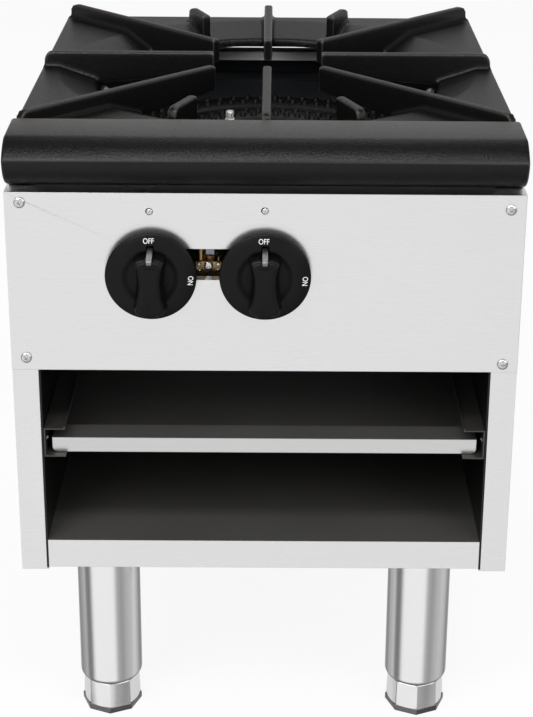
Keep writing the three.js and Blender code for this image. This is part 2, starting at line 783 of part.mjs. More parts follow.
function gasManifold() {
  const rear = cabinetDepth + couplingLength / 2;
  const route = [[pipeLeft, pipeY, pipeZ], [pipeTurnX, pipeY, pipeZ], [pipeTurnX, rear, pipeZ]];
  const bore = [
    [pipeLeft - 1, pipeY, pipeZ], [pipeTurnX, pipeY, pipeZ], [pipeTurnX, rear + 1, pipeZ],
  ];
  const bossTop = pipeZ + pipeRadius + bossRise;
  const upright = (radius, top, steps) => [...knobX, pilotX].map((x) => rod('z', radius,
    pipeZ, top, [x, pipeY, 0], steps));
  const bosses = upright(bossRadius, bossTop, 16);
  const taps = upright(inletRadius - 3, bossTop + 1, 10);
  return cut(join(pipeRun(route, pipeRadius, pipeBend), bosses),
    pipeRun(bore, pipeBore, pipeBend, 10), taps);
}

function endCap() {
  const outer = capAcross / 2;
  const inner = pipeLeft + capLength - capWall;
  const cap = rod('x', outer, inner - capLength, inner, [0, pipeY, pipeZ], 6);
  return cut(cap, rod('x', pipeRadius + fit, pipeLeft - fit, inner + 1, [0, pipeY, pipeZ]));
}

function inletCoupling() {
  const from = cabinetDepth + fit;
  const to = from + couplingLength;
  const hexagon = rod('y', couplingAcross / 2, from, to, [pipeTurnX, 0, pipeZ], 6);
  const socketEnd = cabinetDepth + couplingLength / 2 + fit;
  return cut(hexagon,
    rod('y', pipeRadius + fit, from - 1, socketEnd, [pipeTurnX, 0, pipeZ]),
    rod('y', pipeBore, socketEnd - 1, to + 1, [pipeTurnX, 0, pipeZ]));
}

function manifoldBracket(x) {
  const z = pipeZ - pipeRadius - fit - sheet / 2;
  const y = baffleY - fit - sheet / 2;
  const section = [[y, z - bracketDrop], [y, z], [pipeY - pipeRadius, z]];
  return prism(sheetOutline(section, sheet), 'x', x - bracketWidth / 2, x + bracketWidth / 2);
}

const inletBottom = pipeZ + pipeRadius + bossRise + fit;

function valveBody(x) {
  const back = valveFront + valveLength;
  const barrel = turned([
    [0, valveFront + 1], [valveBodyRadius, valveFront + 1], [valveBodyRadius, back - 8],
    [inletRadius, back], [0, back],
  ], 'y', [x, 0, stemZ], 16);
  const axis = [x, 0, stemZ];
  const collar = rod('y', valveCollarAcross / 2, valveFront, valveFront + valveCollar, axis, 6);
  const inlet = rod('z', inletRadius, inletBottom, stemZ, [x, pipeY, 0], 12);
  const stemBore = rod('y', stemRadius + fit, valveFront - 1, valveFront + valveBore, axis);
  return cut(join(barrel, collar, inlet), stemBore);
}

function valveStem(x) {
  const front = stemSink - gripReach;
  const back = valveFront + valveBore - fit;
  const round = rod('y', stemRadius, front, back, [x, 0, stemZ], 16);
  const flat = block([x - stemRadius - 1, x + stemRadius + 1], [front - 1, 0],
    [stemZ + stemFlat, stemZ + stemRadius + 1]);
  return cut(round, flat);
}

function orifice(x) {
  const from = valveFront + valveLength + fit;
  const to = from + orificeLength;
  const hexagon = rod('y', orificeAcross / 2, from, from + orificeHex, [x, 0, stemZ], 6);
  const nose = turned([
    [0, from], [inletRadius, from], [inletRadius, from + orificeHex + 2],
    [orificeTip + 1, to - 3], [orificeTip, to], [0, to],
  ], 'y', [x, 0, stemZ], 16);
  return cut(join(hexagon, nose), rod('y', orificeDrill, from - 1, to + 1, [x, 0, stemZ], 8));
}

part('gas_manifold', gasManifold(), 'steelPipe');
part('manifold_end_cap', endCap(), 'steelPipe');
part('gas_inlet_fitting', inletCoupling(), 'steelPipe');
sides.forEach(([word], i) => {
  part(`manifold_bracket_${word}`, manifoldBracket(bracketX[i]), 'galvanised');
  part(`valve_body_${word}`, valveBody(knobX[i]), 'brass');
  part(`valve_stem_${word}`, valveStem(knobX[i]), 'aluminium');
  part(`orifice_${word}`, orifice(knobX[i]), 'brass');
});

// ---------------------------------------------------------------- knobs

// The grip bar seen from the front: waisted sides and rounded ends.
function gripOutline() {
  const top = gripTop - gripEndRound;
  const bottom = gripEndRound - gripBottom;
  const bend = 2 * gripWaistHalf - (gripTopHalf + gripBottomHalf) / 2;
  const right = new THREE.QuadraticBezierCurve(new THREE.Vector2(gripBottomHalf, bottom),
    new THREE.Vector2(bend, 0), new THREE.Vector2(gripTopHalf, top));
  const side = right.getPoints(8).map(({ x, y }) => [x, y]);
  const halfOutline = [
    [gripBottomHalf / 2, -gripBottom], ...side, [gripTopHalf / 2, gripTop],
  ];
  return outline([...halfOutline, ...halfOutline.map(([x, z]) => [-x, z]).reverse()]);
}

function indicatorBox(x, clearance) {
  const w = indicatorWidth / 2 + clearance;
  const top = stemZ + gripTop + indicatorOver;
  const back = indicatorDepth - gripReach + clearance;
  return block([x - w, x + w], [-gripReach - indicatorProud, back],
    [top - indicatorLength - clearance, top]);
}

function knob(x) {
  const radius = knobDiameter / 2;
  const back = -knobStandoff;
  const rim = back - knobRim;
  const dome = rim - knobDome;
  const level = radius * knobDish;
  const inside = radius - knobWall;
  const dial = turned([
    [0, dome], [level, dome], [radius * knobShoulder, rim - knobDome / 3], [radius - 1, rim],
    [radius, rim + 1], [radius, back], [inside, back], [inside, rim + knobWall],
    [level, dome + knobWall], [hubRadius, dome + knobWall], [hubRadius, back], [0, back],
  ], 'y', [x, 0, stemZ], 24);
  const grip = new THREE.ExtrudeGeometry(gripOutline(), {
    depth: gripReach + dome + 1 - gripFlare,
    bevelThickness: gripFlare,
    bevelSize: gripFlare,
    bevelOffset: -gripFlare,
    bevelSegments: 1,
  });
  grip.applyMatrix4(outlineAlongY).translate(x, dome + 1, stemZ);
  const bar = solid(grip);
  const bore = rod('y', stemRadius + fit, stemSink - gripReach - fit, 0, [x, 0, stemZ], 12);
  return cut(join(dial, bar), bore, indicatorBox(x, fit));
}

sides.forEach(([word], i) => {
  part(`knob_${word}`, knob(knobX[i]), 'phenolic');
  part(`indicator_${word}`, indicatorBox(knobX[i], 0), 'chrome');
});

// ---------------------------------------------------------------- pilot

const pilotTop = stemZ + pilotBodyRise;
const pilotReach = (innerRing[1] + middleRing[0]) / 2;
const pilotTurn = THREE.MathUtils.degToRad(pilotBearing);
const pilotPlace = [pilotReach * Math.cos(pilotTurn), centreY + pilotReach * Math.sin(pilotTurn)];
const pilotHeadTop = burnerTop + pilotHeadRise;
const pilotHeadBottom = pilotHeadTop - pilotHeadLength;
const pilotTubeZ = stemZ - pilotTubeDrop;
const pilotBack = pipeY + inletRadius;

function pilotValve() {
  const w = pilotWidth / 2;
  const body = block([pilotX - w, pilotX + w], [pilotFront, pilotBack],
    [pilotTop - pilotBodyHeight, pilotTop]);
  const inlet = rod('z', inletRadius, inletBottom, pilotTop - 1, [pilotX, pipeY, 0], 12);
  const fittings = pilotFittings.map(([aside, behind, radius, height]) => rod('z', radius,
    pilotTop - 1, pilotTop + height, [pilotX + aside, pilotFront + behind, 0], 6));
  const screw = rod('y', pilotScrewRadius, pilotFront - 3, pilotFront + 1, [pilotX, 0, stemZ], 12);
  return join(body, inlet, fittings, screw);
}

function pilotTube() {
  const [x, y] = pilotPlace;
  const route = [
    [pilotX, pilotBack + fit, pilotTubeZ], [pilotX, y - 3 * pilotTubeBend, pilotTubeZ],
    [x, y - pilotTubeBend - 1, pilotTubeZ], [x, y, pilotTubeZ], [x, y, pilotHeadBottom - fit],
  ];
  return pipeRun(route, pilotTubeRadius, pilotTubeBend / 2, 8);
}

function pilotBurner() {
  const r = pilotHeadRadius;
  const [low, high] = [pilotHeadBottom, pilotHeadTop];
  return turned([
    [0, low], [r, low], [r, high - 6], [r - 1, high - 5], [r, high - 4], [r, high - 1],
    [r - 1, high], [0, high],
  ], 'z', [...pilotPlace, 0], 12);
}

function pilotBracket() {
  const [x, y] = pilotPlace;
  const under = crossbarTop - barThickness - fit - sheet / 2;
  const upright = y + pilotHeadRadius + fit + sheet / 2;
  const section = [
    [centreY + crossbarOffset + crossbarWidth / 3, under], [upright, under],
    [upright, pilotHeadBottom + pilotHeadLength / 2],
  ];
  return prism(sheetOutline(section, sheet), 'x', x - 6, x + 6);
}

part('pilot_valve', pilotValve(), 'brass');
part('pilot_tube', pilotTube(), 'aluminium');
part('pilot_burner', pilotBurner(), 'aluminium');
part('pilot_bracket', pilotBracket(), 'galvanised');

// ---------------------------------------------------------------- nosing and grate

const topBottom = cabinetTop + fit;

function nosingOutline(wall) {
  const back = grateFront - fit - wall;
  const top = topBottom + nosingHeight - wall;
  const noseZ = topBottom + nosingNose;
  const front = -nosingFront + wall;
  const shoulder = top - nosingFall;
  const foot = topBottom - (wall > 0 ? 1 : 0);
  return outline([
    [back, foot], [back, top],
    ...arc([nosingShoulder, noseZ], [nosingShoulder - front, shoulder - noseZ], 90, 180, 6),
    ...arc([nosingFoot + wall, noseZ], [nosingFoot + wall - front, noseZ - foot], 180, 270, 7),
  ]);
}

function frontNosing() {
  const end = half - nosingInset;
  const shell = new THREE.ExtrudeGeometry(nosingOutline(0), {
    depth: 2 * (end - nosingEdge),
    bevelThickness: nosingEdge,
    bevelSize: nosingEdge,
    bevelOffset: -nosingEdge,
    bevelSegments: 2,
  });
  shell.applyMatrix4(outlineAlongX).translate(-end + nosingEdge, 0, 0);
  const hollow = prism(nosingOutline(nosingWall), 'x', -end + nosingWall, end - nosingWall);
  return cut(solid(shell), hollow);
}

// Lower edge of the fins at a radius: straight from the bowl's edge up to the tip.
function finUnderside(radius) {
  const root = grateTop - finRootDrop;
  const tip = grateTop + finRise - finTipDepth;
  const slope = (tip - root) / (bowlEdge - bowlLipTaper - finTipRadius);
  return root + (bowlEdge - bowlLipTaper - radius) * slope;
}

function fin([inner, outer], angle) {
  const top = grateTop + finRise;
  const root = bowlEdge - bowlLipTaper + 1;
  const buried = grateTop - grateRim / 2;
  const low = inner < root ? [[inner, finUnderside(inner)]] : [];
  const shape = outline([
    ...low,
    [inner, top],
    ...arc([outer - finRound, top - finRound], [finRound, finRound], 90, 0, 3),
    [outer, buried], [bowlCrease, buried - 1],
    [Math.max(inner, root), finUnderside(Math.max(inner, root)) + (inner < root ? 0 : 2)],
  ]);
  const web = new THREE.ExtrudeGeometry(shape, { depth: finThickness, bevelEnabled: false });
  web.applyMatrix4(outlineAlongY).translate(0, finThickness / 2, 0);
  return solid(web.rotateZ(THREE.MathUtils.degToRad(angle)).translate(0, centreY, 0));
}

function topGrate() {
  const edge = grateSize / 2;
  const under = grateTop - grateRim;
  const lipBottom = grateTop - bowlDrop - bowlLip;
  const plate = block([-edge, edge], [centreY - edge, centreY + edge], [topBottom, grateTop]);
  const hollowEdge = edge - grateRim;
  const hollow = block([-hollowEdge, hollowEdge], [centreY - hollowEdge, centreY + hollowEdge],
    [topBottom - 1, under]);
  const bowlRing = turned([
    [bowlEdge - grateRim, lipBottom], [bowlEdge + grateRim, lipBottom],
    [bowlCrease + 2, under - 1], [bowlCrease + 2, under + 2], [bowlEdge - grateRim, under + 2],
  ], 'z', [0, centreY, 0], bowlSteps);
  const bowl = turned([
    [0, topBottom - 1], [bowlEdge - bowlLipTaper, topBottom - 1], [bowlEdge - bowlLipTaper, lipBottom],
    [bowlEdge, grateTop - bowlDrop], [bowlCrease, grateTop], [bowlCrease, grateTop + 1], [0, grateTop + 1],
  ], 'z', [0, centreY, 0], bowlSteps);
  const fins = [
    ...[0, 90, 180, 270].map((angle) => fin(straightFin, angle)),
    ...[45, 135, 225, 315].map((angle) => fin(diagonalFin, angle)),
    ...[90, 270].flatMap((angle) => [-1, 1].map((s) => fin(shortFin, angle + s * shortFinAngle))),
  ];
  return join(cut(join(cut(plate, hollow), bowlRing), bowl), fins);
}

part('front_nosing', frontNosing(), 'castIron');
part('top_grate', topGrate(), 'castIron');

// ---------------------------------------------------------------- legs and feet

function leg(x, y) {
  const bore = studRadius + studClearance;
  const top = floorClearance - fit;
  const floor = footHeight + legRound + 1;
  const socket = bore + socketWall;
  return turned([
    [bore, footHeight], [legRadius - legRound, footHeight],
    ...arc([legRadius - legRound, footHeight + legRound], [legRound, legRound],
      legRoundStart, 360, 2),
    [legRadius, top], [legRadius - legWall, top], [legRadius - legWall, floor],
    [socket, floor], [socket, footHeight + socketHeight], [bore, footHeight + socketHeight],
  ], 'z', [x, y, 0]);
}

function foot(x, y) {
  const top = footHeight - fit;
  return turned([
    [0, 0], [footPlateRadius, 0], [footPlateRadius, footPlate], [footBottomRadius, footPlate],
    [footTopRadius, top], [studRadius, top], [studRadius, studLength], [0, studLength],
  ], 'z', [x, y, 0], 8);
}

for (const [row, y] of [['front', legInset], ['rear', cabinetDepth - legInset]]) {
  for (const [word, side] of sides) {
    part(`leg_${row}_${word}`, leg(side * legX, y), 'stainless');
    part(`foot_${row}_${word}`, foot(side * legX, y), 'footGrey');
  }
}

// The origin lies on the floor under the middle of the whole range.
const foremost = -nosingFront;
const foremostKnob = -gripReach - indicatorProud;
const rearmost = cabinetDepth + fit + couplingLength;
range.position.y = -(Math.min(foremost, foremostKnob) + rearmost) / 2;

export default range;
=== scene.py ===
"""Stock pot range: the dressed pieces round its CAD frame, and the studio it is shown in."""
from math import atan2, copysign, cos, pi, radians, sin, sqrt, tan

import bmesh
import bpy
from bpy.props import FloatProperty, FloatVectorProperty, IntProperty, PointerProperty
from mathutils import Matrix, Vector


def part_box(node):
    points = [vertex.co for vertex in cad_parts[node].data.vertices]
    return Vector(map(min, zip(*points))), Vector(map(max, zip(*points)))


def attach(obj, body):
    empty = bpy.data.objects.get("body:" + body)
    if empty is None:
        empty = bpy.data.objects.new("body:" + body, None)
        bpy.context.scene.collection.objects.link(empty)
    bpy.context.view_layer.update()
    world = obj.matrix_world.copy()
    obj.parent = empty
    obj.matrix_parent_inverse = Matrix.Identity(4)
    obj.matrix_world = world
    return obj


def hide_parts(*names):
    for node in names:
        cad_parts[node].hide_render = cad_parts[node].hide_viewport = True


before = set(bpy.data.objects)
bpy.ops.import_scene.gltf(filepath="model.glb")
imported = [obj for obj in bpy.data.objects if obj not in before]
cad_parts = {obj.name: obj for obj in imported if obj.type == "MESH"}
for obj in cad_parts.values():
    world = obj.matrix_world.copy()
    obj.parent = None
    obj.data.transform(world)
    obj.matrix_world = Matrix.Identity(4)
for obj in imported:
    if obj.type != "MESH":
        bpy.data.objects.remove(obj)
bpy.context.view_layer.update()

bl_info = {
    "name": "Stock pot range",
    "version": (1, 0, 0),
    "blender": (4, 5, 0),
    "location": "View3D > Sidebar > Range",
    "description": "Builds the pieces and finishes of a stock pot range round its frame",
    "category": "Object",
}

MM = 0.001
PANEL_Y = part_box("control_panel")[0].y / MM  # the panel's face, from which y is measured here
FRAME_HEIGHT_PX = 717
FRAME_WIDTH_PX = 533


def linear(hex_colour):
    """An sRGB hex colour as linear red, green, blue and alpha."""
    values = [int(hex_colour[i:i + 2], 16) / 255 for i in (1, 3, 5)]
    return [v / 12.92 if v <= 0.04045 else ((v + 0.055) / 1.055) ** 2.4 for v in values] + [1.0]


def length(name, description, millimetres):
    return FloatProperty(
        name=name, description=description, default=millimetres * MM, min=0.0,
        unit="LENGTH", subtype="DISTANCE", precision=5)


def power(name, description, watts):
    return FloatProperty(
        name=name, description=description, default=watts, min=0.0, subtype="POWER", unit="POWER")


def count(name, description, number, least):
    return IntProperty(name=name, description=description, default=number, min=least)


def colour(name, description, hex_colour):
    return FloatVectorProperty(
        name=name, description=description, default=linear(hex_colour), size=4,
        min=0.0, max=1.0, subtype="COLOR")


# ------------------------------------------------------------------ settings

class StudioSettings(bpy.types.PropertyGroup):
    """Camera, lamps and background"""
    distance: length("Distance", "Camera in front of the panel's face", 1417.9)
    height: length("Height", "Camera above the floor", 1032.0)
    pitch: FloatProperty(
        name="Pitch", description="How far the camera looks down",
        default=radians(20.109), subtype="ANGLE", unit="ROTATION")
    ambient: FloatProperty(
        name="Ambient", description="Even light from all round", default=0.5, min=0.0, max=1.0)
    key_power: power("Key power", "Large soft lamp in front on the left", 36.0)
    fill_power: power("Fill power", "Soft lamp in front on the right", 15.0)
    top_power: power("Top power", "Soft lamp above and behind", 9.0)
    strip_power: power("Strip power", "Long soft lamp overhead that draws lines of gloss", 21.0)
    floor_colour: colour("Floor", "Pale studio floor", "#f3f3f2")


class FinishColours(bpy.types.PropertyGroup):
    """Colours of the finishes"""
    stainless: colour("Stainless", "Brushed sheet of the panel and sides", "#e8e8e8")
    # The next three colours are dark greys that stand for the shade inside the range, painted onto
    # its sheet; the burner wall's dark bluish grey is painted shade, not smoke
    bay_floor: colour("Bay floor", "Dark sheet of the shelf and tray", "#61605d")
    bay_wall: colour("Bay wall", "Dark sheet of the liners", "#1b1a19")
    burner_wall: colour("Burner wall", "Smoked sheet behind the burners", "#2c2e33")
    cast_iron: colour("Cast iron", "Black paint on the grate and nosing", "#0e0d0d")
    burner_iron: colour("Burner iron", "Black paint on the burners", "#070707")
    phenolic: colour("Phenolic", "Moulded dials", "#0b0b0c")
    lettering: colour("Lettering", "Printed words on the dials", "#e9e9e9")
    brass: colour("Brass", "Valves and their fittings", "#a48a62")
    leg_steel: colour("Leg steel", "Turned leg tubes", "#f2f2f2")


class DialSizes(bpy.types.PropertyGroup):
    """Sizes of the dials"""
    diameter: length("Diameter", "Across a dial", 81)
    lettering_height: length("Lettering", "Height of the printed capitals", 5.0)
    waist: length("Waist", "Grip bar at its narrowest, from its middle line", 9.6)


class CastingSizes(bpy.types.PropertyGroup):
    """Sizes of the castings"""
    grate_grain: length("Grate rounding", "Cell that rounds the grate's edges and corners", 1.9)
    outer_ports: count("Outer ports", "Ports in a row of the outer ring", 60, 8)
    middle_ports: count("Middle ports", "Ports in a row of the middle ring", 43, 8)
    inner_ports: count("Inner ports", "Ports in a row of the inner ring", 20, 6)


class SheetSizes(bpy.types.PropertyGroup):
    """Sizes of the sheet metal's details"""
    edge: length("Edge", "Rounding of sheet edges and folds", 0.5)
    screw: length("Screw head", "Across a panel screw's head", 10)
    rivet: length("Rivet", "Across a rail's rivet head", 5)


# ------------------------------------------------------------------ finishes

def add(tree, kind, feeds=None, **settings):
    """Adds a node with its settings, and feeds its sockets with values or other sockets."""
    node = tree.nodes.new(kind)
    for key, value in settings.items():
        setattr(node, key, value)
    for key, value in (feeds or {}).items():
        if isinstance(value, bpy.types.NodeSocket):
            tree.links.new(value, node.inputs[key])
        else:
            node.inputs[key].default_value = value
    return node


def tone(name):
    """One of the sidebar's colours by its name, or an sRGB hex colour."""
    if name.startswith("#"):
        return linear(name)
    return list(getattr(bpy.context.scene.range_finishes, name))


def shade(rgba, factor):
    return [c * factor for c in rgba[:3]] + [1.0]


def new_finish(name, **values):
    """A material with its main shader's plain values set."""
    material = bpy.data.materials.new(name)
    material.use_nodes = True
    shader = material.node_tree.nodes["Principled BSDF"]
    for key, value in values.items():
        shader.inputs[key.replace("_", " ")].default_value = value
    return material, material.node_tree, shader


def streaks(tree, sizes, detail=3.0):
    """Noise drawn out to the given lengths in millimetres along x, y and z."""
    place = add(tree, "ShaderNodeTexCoord")
    drawn = add(tree, "ShaderNodeMapping", {
        "Vector": place.outputs["Object"], "Scale": [1 / (size * MM) for size in sizes]})
    return add(tree, "ShaderNodeTexNoise", {
        "Vector": drawn.outputs["Vector"], "Scale": 1.0, "Detail": detail,
        "Roughness": 0.55}).outputs["Fac"]


def tinted(tree, shader, rgba, factor, low, high):
    """Varies the base colour between two brightnesses of it."""
    mixed = add(tree, "ShaderNodeMix", {0: factor, 6: shade(rgba, low), 7: shade(rgba, high)},
                data_type="RGBA")
    tree.links.new(mixed.outputs[2], shader.inputs["Base Color"])


def roughened(tree, shader, factor, low, high):
    """Varies the roughness with a pattern."""
    spread = add(tree, "ShaderNodeMapRange", {
        "Value": factor, "From Min": 0.3, "From Max": 0.7, "To Min": low, "To Max": high})
    tree.links.new(spread.outputs["Result"], shader.inputs["Roughness"])


def raised(tree, shader, height, millimetres, strength, under=None):
    """Adds relief of about that height to the surface."""
    feeds = {"Height": height, "Distance": millimetres * MM, "Strength": strength}
    if under:
        feeds["Normal"] = under
    relief = add(tree, "ShaderNodeBump", feeds)
    tree.links.new(relief.outputs["Normal"], shader.inputs["Normal"])
    return relief.outputs["Normal"]


def brushed_stainless(name, share=1.0):
    # Austenitic sheet ground with a belt: the grain lies level, so gloss spreads up and down
    # and fine level streaks show. The real scratches are 0.1 mm apart and are drawn coarser,
    # because the picture shows about a millimetre in a pixel.
    material, tree, shader = new_finish(name, Metallic=1.0)
    scratches = streaks(tree, (75, 75, 0.9))
    clouds = streaks(tree, (160, 160, 90), 2.0)
    both = add(tree, "ShaderNodeMix", {0: 0.5, 2: scratches, 3: clouds}, data_type="FLOAT")
    # A share below 1 makes a darker copy of the sheet, painted shade
    tinted(tree, shader, shade(tone("stainless"), share), both.outputs[0], 0.982, 1.01)
    roughened(tree, shader, scratches, 0.27, 0.3)
    raised(tree, shader, scratches, 0.01, 0.1)
    return material


def mill_sheet(name):
    # Sheet left with its dull mill finish: it scatters light, so the lip behind the burners is
    # an even mid grey with faint level lines.
    material, tree, shader = new_finish(name, Metallic=0.1)
    lines = streaks(tree, (90, 90, 1.4), 2.0)
    tinted(tree, shader, tone("#e8e8e6"), lines, 0.8, 1.15)
    roughened(tree, shader, lines, 0.45, 0.55)
    return material


def shade_painted_sheet(name, paint):
    # Cold-rolled sheet given dark greys that are painted shade for the dim inside of the range:
    # the bays, liners, rails and burner box. It holds a blurred mirror of what stands in front of
    # it and is a little cloudy from handling.
    material, tree, shader = new_finish(name, Metallic=0.5)
    clouds = streaks(tree, (110, 110, 70), 1.0)
    grain = streaks(tree, (60, 1.6, 60), 2.0)
    tinted(tree, shader, tone(paint), clouds, 0.86, 1.14)
    roughened(tree, shader, clouds, 0.28, 0.36)
    raised(tree, shader, grain, 0.01, 0.3)
    return material


def painted_iron(name, paint, grit, roughness, wear):
    # Sand-cast iron under thin heat-proof black paint: the sand leaves grit and shallow waves, the
    # paint is satin, and its sharp edges are painted a lighter grey, partly rubbed wear and partly
    # a painted highlight for the gloss that rounded edges catch. The real grit is half a
    # millimetre and is drawn coarser so that it shows.
    material, tree, shader = new_finish(name, Specular_IOR_Level=0.24)
    rgba = tone(paint)
    sand = streaks(tree, (grit, grit, grit), 5.0)
    waves = streaks(tree, (7, 7, 7), 3.0)
    # Sharp edges get a lighter grey, partly rubbed wear and partly a painted highlight; the wear
    # argument sets how strong it is
    edges = add(tree, "ShaderNodeMapRange", {
        "Value": add(tree, "ShaderNodeNewGeometry").outputs["Pointiness"],
        "From Min": 0.525, "From Max": 0.58, "To Max": wear})
    painted = add(tree, "ShaderNodeMix", {
        0: waves, 6: shade(rgba, 0.75), 7: shade(rgba, 1.25)}, data_type="RGBA")
    rubbed_and_highlighted = add(tree, "ShaderNodeMix", {
        0: edges.outputs[0], 6: painted.outputs[2], 7: linear("#6f6d69")}, data_type="RGBA")
    tree.links.new(rubbed_and_highlighted.outputs[2], shader.inputs["Base Color"])
    roughened(tree, shader, sand, roughness - 0.06, roughness + 0.1)
    slow = raised(tree, shader, waves, 0.3, 0.6)
    raised(tree, shader, sand, 0.4, 0.9, slow)
    return material


def moulded_phenolic(name):
    # Compression-moulded phenolic: even, hard and satin, with a faint orange peel.
    material, tree, shader = new_finish(name, Specular_IOR_Level=0.16)
    peel = streaks(tree, (0.9, 0.9, 0.9), 2.0)
    mottle = streaks(tree, (18, 18, 18), 2.0)
    tinted(tree, shader, tone("phenolic"), mottle, 0.9, 1.12)
    roughened(tree, shader, mottle, 0.33, 0.4)
    raised(tree, shader, peel, 0.02, 0.5)
    return material


def printed_ink(name):
    # Pad-printed ink: matt white, slightly uneven where it was pressed on.
    material, tree, shader = new_finish(name, Roughness=0.6)
    tinted(tree, shader, tone("lettering"), streaks(tree, (1.5, 1.5, 1.5), 2.0), 0.86, 1.05)
    return material


def plated(name, paint, roughness, mottle_mm=3.0, metal=1.0):
    # Bright plated, drawn or cast metal: nearly a mirror, dulled a little in patches.
    material, tree, shader = new_finish(name, Metallic=metal)
    patch = streaks(tree, (mottle_mm,) * 3, 3.0)
    tinted(tree, shader, tone(paint), patch, 0.9, 1.06)
    roughened(tree, shader, patch, roughness * 0.8, roughness * 1.3)
    raised(tree, shader, patch, 0.02, 0.3)
    return material


def galvanised(name):
    # Hot-dip galvanised sheet: dull grey with soft spangle about 12 mm across.
    material, tree, shader = new_finish(name, Metallic=0.9)
    place = add(tree, "ShaderNodeTexCoord")
    spangle = add(tree, "ShaderNodeTexVoronoi", {
        "Vector": place.outputs["Object"], "Scale": 1 / (12 * MM)}, feature="F1")
    tinted(tree, shader, tone("#5d5f62"), spangle.outputs["Distance"], 0.85, 1.2)
    roughened(tree, shader, spangle.outputs["Distance"], 0.42, 0.55)
    return material


def black_pipe(name):
    # Welded gas pipe with mill scale: bluish black and dull, with fine pits.
    material, tree, shader = new_finish(name, Metallic=0.6)
    scale = streaks(tree, (2.2, 2.2, 2.2), 4.0)
    tinted(tree, shader, tone("#242527"), scale, 0.7, 1.4)
    roughened(tree, shader, scale, 0.5, 0.68)
    raised(tree, shader, scale, 0.06, 0.6)
    return material


def turned_tube(name):
    # Tube polished round its axis: the scratches run round, so highlights are drawn out into
    # bright and dark bands along its length, and its base colour is painted dark towards its edges
    # where it turns away from the eye, a painted dark reflection.
    material, tree, shader = new_finish(name, Metallic=1.0, Anisotropic=0.6)
    rgba = tone("leg_steel")
    rings = streaks(tree, (60, 60, 0.8), 2.0)
    round_axis = add(tree, "ShaderNodeTangent", direction_type="RADIAL", axis="Z")
    tree.links.new(round_axis.outputs["Tangent"], shader.inputs["Tangent"])
    # Painted dark reflection: the colour darkens towards the edges as the surface turns away from
    # the eye
    painted_dark_rim = add(tree, "ShaderNodeMapRange", {
        "Value": add(tree, "ShaderNodeLayerWeight", {"Blend": 0.5}).outputs["Facing"],
        "From Min": 0.46, "From Max": 0.74, "To Max": 0.94})
    polished = add(tree, "ShaderNodeMix", {
        0: rings, 6: shade(rgba, 0.985), 7: shade(rgba, 1.01)}, data_type="RGBA")
    painted_rim_shade = add(tree, "ShaderNodeMix", {
        0: painted_dark_rim.outputs[0], 6: polished.outputs[2], 7: shade(rgba, 0.12)},
        data_type="RGBA")
    tree.links.new(painted_rim_shade.outputs[2], shader.inputs["Base Color"])
    roughened(tree, shader, rings, 0.15, 0.17)
    return material


# Each finish: what makes it, its material's name and the rest that its maker asks for. The dull
# zinc is pale and half matt, so that it shows even in the dark under the grate.
FINISHES = {
    "level_stainless": (brushed_stainless, "stainless_sheet_brushed"),
    # The tray's front gets a darker copy of the brushed stainless, painted shade under the panel
    "tray_stainless_shaded": (brushed_stainless, "stainless_sheet_brushed_tray", 0.82),
    "mill_lip": (mill_sheet, "stainless_sheet_mill"),
    # These four dark sheets are painted shade for the dim inside of the range
    "bay_floor": (shade_painted_sheet, "rolled_sheet_bay_floor", "bay_floor"),
    "bay_wall": (shade_painted_sheet, "rolled_sheet_bay_wall", "bay_wall"),
    "burner_wall": (shade_painted_sheet, "rolled_sheet_smoked", "burner_wall"),
    "rail_sheet": (shade_painted_sheet, "rolled_sheet_rails", "#454341"),
    "grate_iron": (painted_iron, "cast_iron_painted", "cast_iron", 1.6, 0.32, 0.5),
    "burner_iron": (painted_iron, "cast_iron_burner", "burner_iron", 1.1, 0.46, 0.0),
    "phenolic": (moulded_phenolic, "phenolic_moulded"),
    "white_ink": (printed_ink, "ink_printed_white"),
    "nickel": (plated, "steel_nickel_plated", "#d6d6d8", 0.16),
    "pointer": (plated, "aluminium_pointer", "#808082", 0.4, 1.2),
    "dull_zinc": (plated, "steel_zinc_plated", "#e2e2e0", 0.3, 2.0, 0.45),
    "brass": (plated, "brass_turned", "brass", 0.28),
    "aluminium": (plated, "aluminium_drawn", "#bfc1c3", 0.3),
    "zinc": (plated, "zinc_die_cast", "#8e9094", 0.34),
    "galvanised": (galvanised, "steel_galvanised"),
    "black_pipe": (black_pipe, "steel_pipe_black"),
    "leg_tube": (turned_tube, "stainless_tube_turned"),
    "cast_foot": (plated, "zinc_cast_chromed", "leg_steel", 0.1, 30),
    "foot_plate": (plated, "zinc_die_cast_dark", "#727273", 0.3),
}
MADE = {}


def finish(name):
    """The material of that name, made the first time it is asked for."""
    if name not in MADE:
        maker, *rest = FINISHES[name]
        MADE[name] = maker(*rest)
    return MADE[name]


# ------------------------------------------------------------------ shapes, in millimetres

def at(x, y, z):
    """A point in millimetres, y from the panel's face, as a point of the frame."""
    return Vector((x, y + PANEL_Y, z)) * MM


def corners(node):
    """The node's lowest and highest corner in millimetres, y from the panel's face."""
    return [corner / MM - Vector((0, PANEL_Y, 0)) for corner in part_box(node)]


def middle(node):
    """The middle of the node's box in millimetres, y from the panel's face."""
    low, high = corners(node)
    return (low + high) / 2


def rectangle(left, low, right, high):
    """A rectangle's four corners, in order round it."""
    return ((left, low), (right, low), (right, high), (left, high))


def depth(face):
    """How far a face's middle lies behind the panel's face, in millimetres."""
    return face.calc_center_median().y / MM - PANEL_Y


def loft(bm, loops, ring=False):
    """Joins loops of equally many points with quads; the first and last are filled or joined."""
    rows = [[bm.verts.new(at(*point)) for point in loop] for loop in loops]
    for one, two in zip(rows, rows[1:] + (rows[:1] if ring else [])):
        for i in range(len(one)):
            j = (i + 1) % len(one)
            bm.faces.new((one[i], one[j], two[j], two[i]))
    if not ring:
        bm.faces.new(rows[0])
        bm.faces.new(rows[-1])


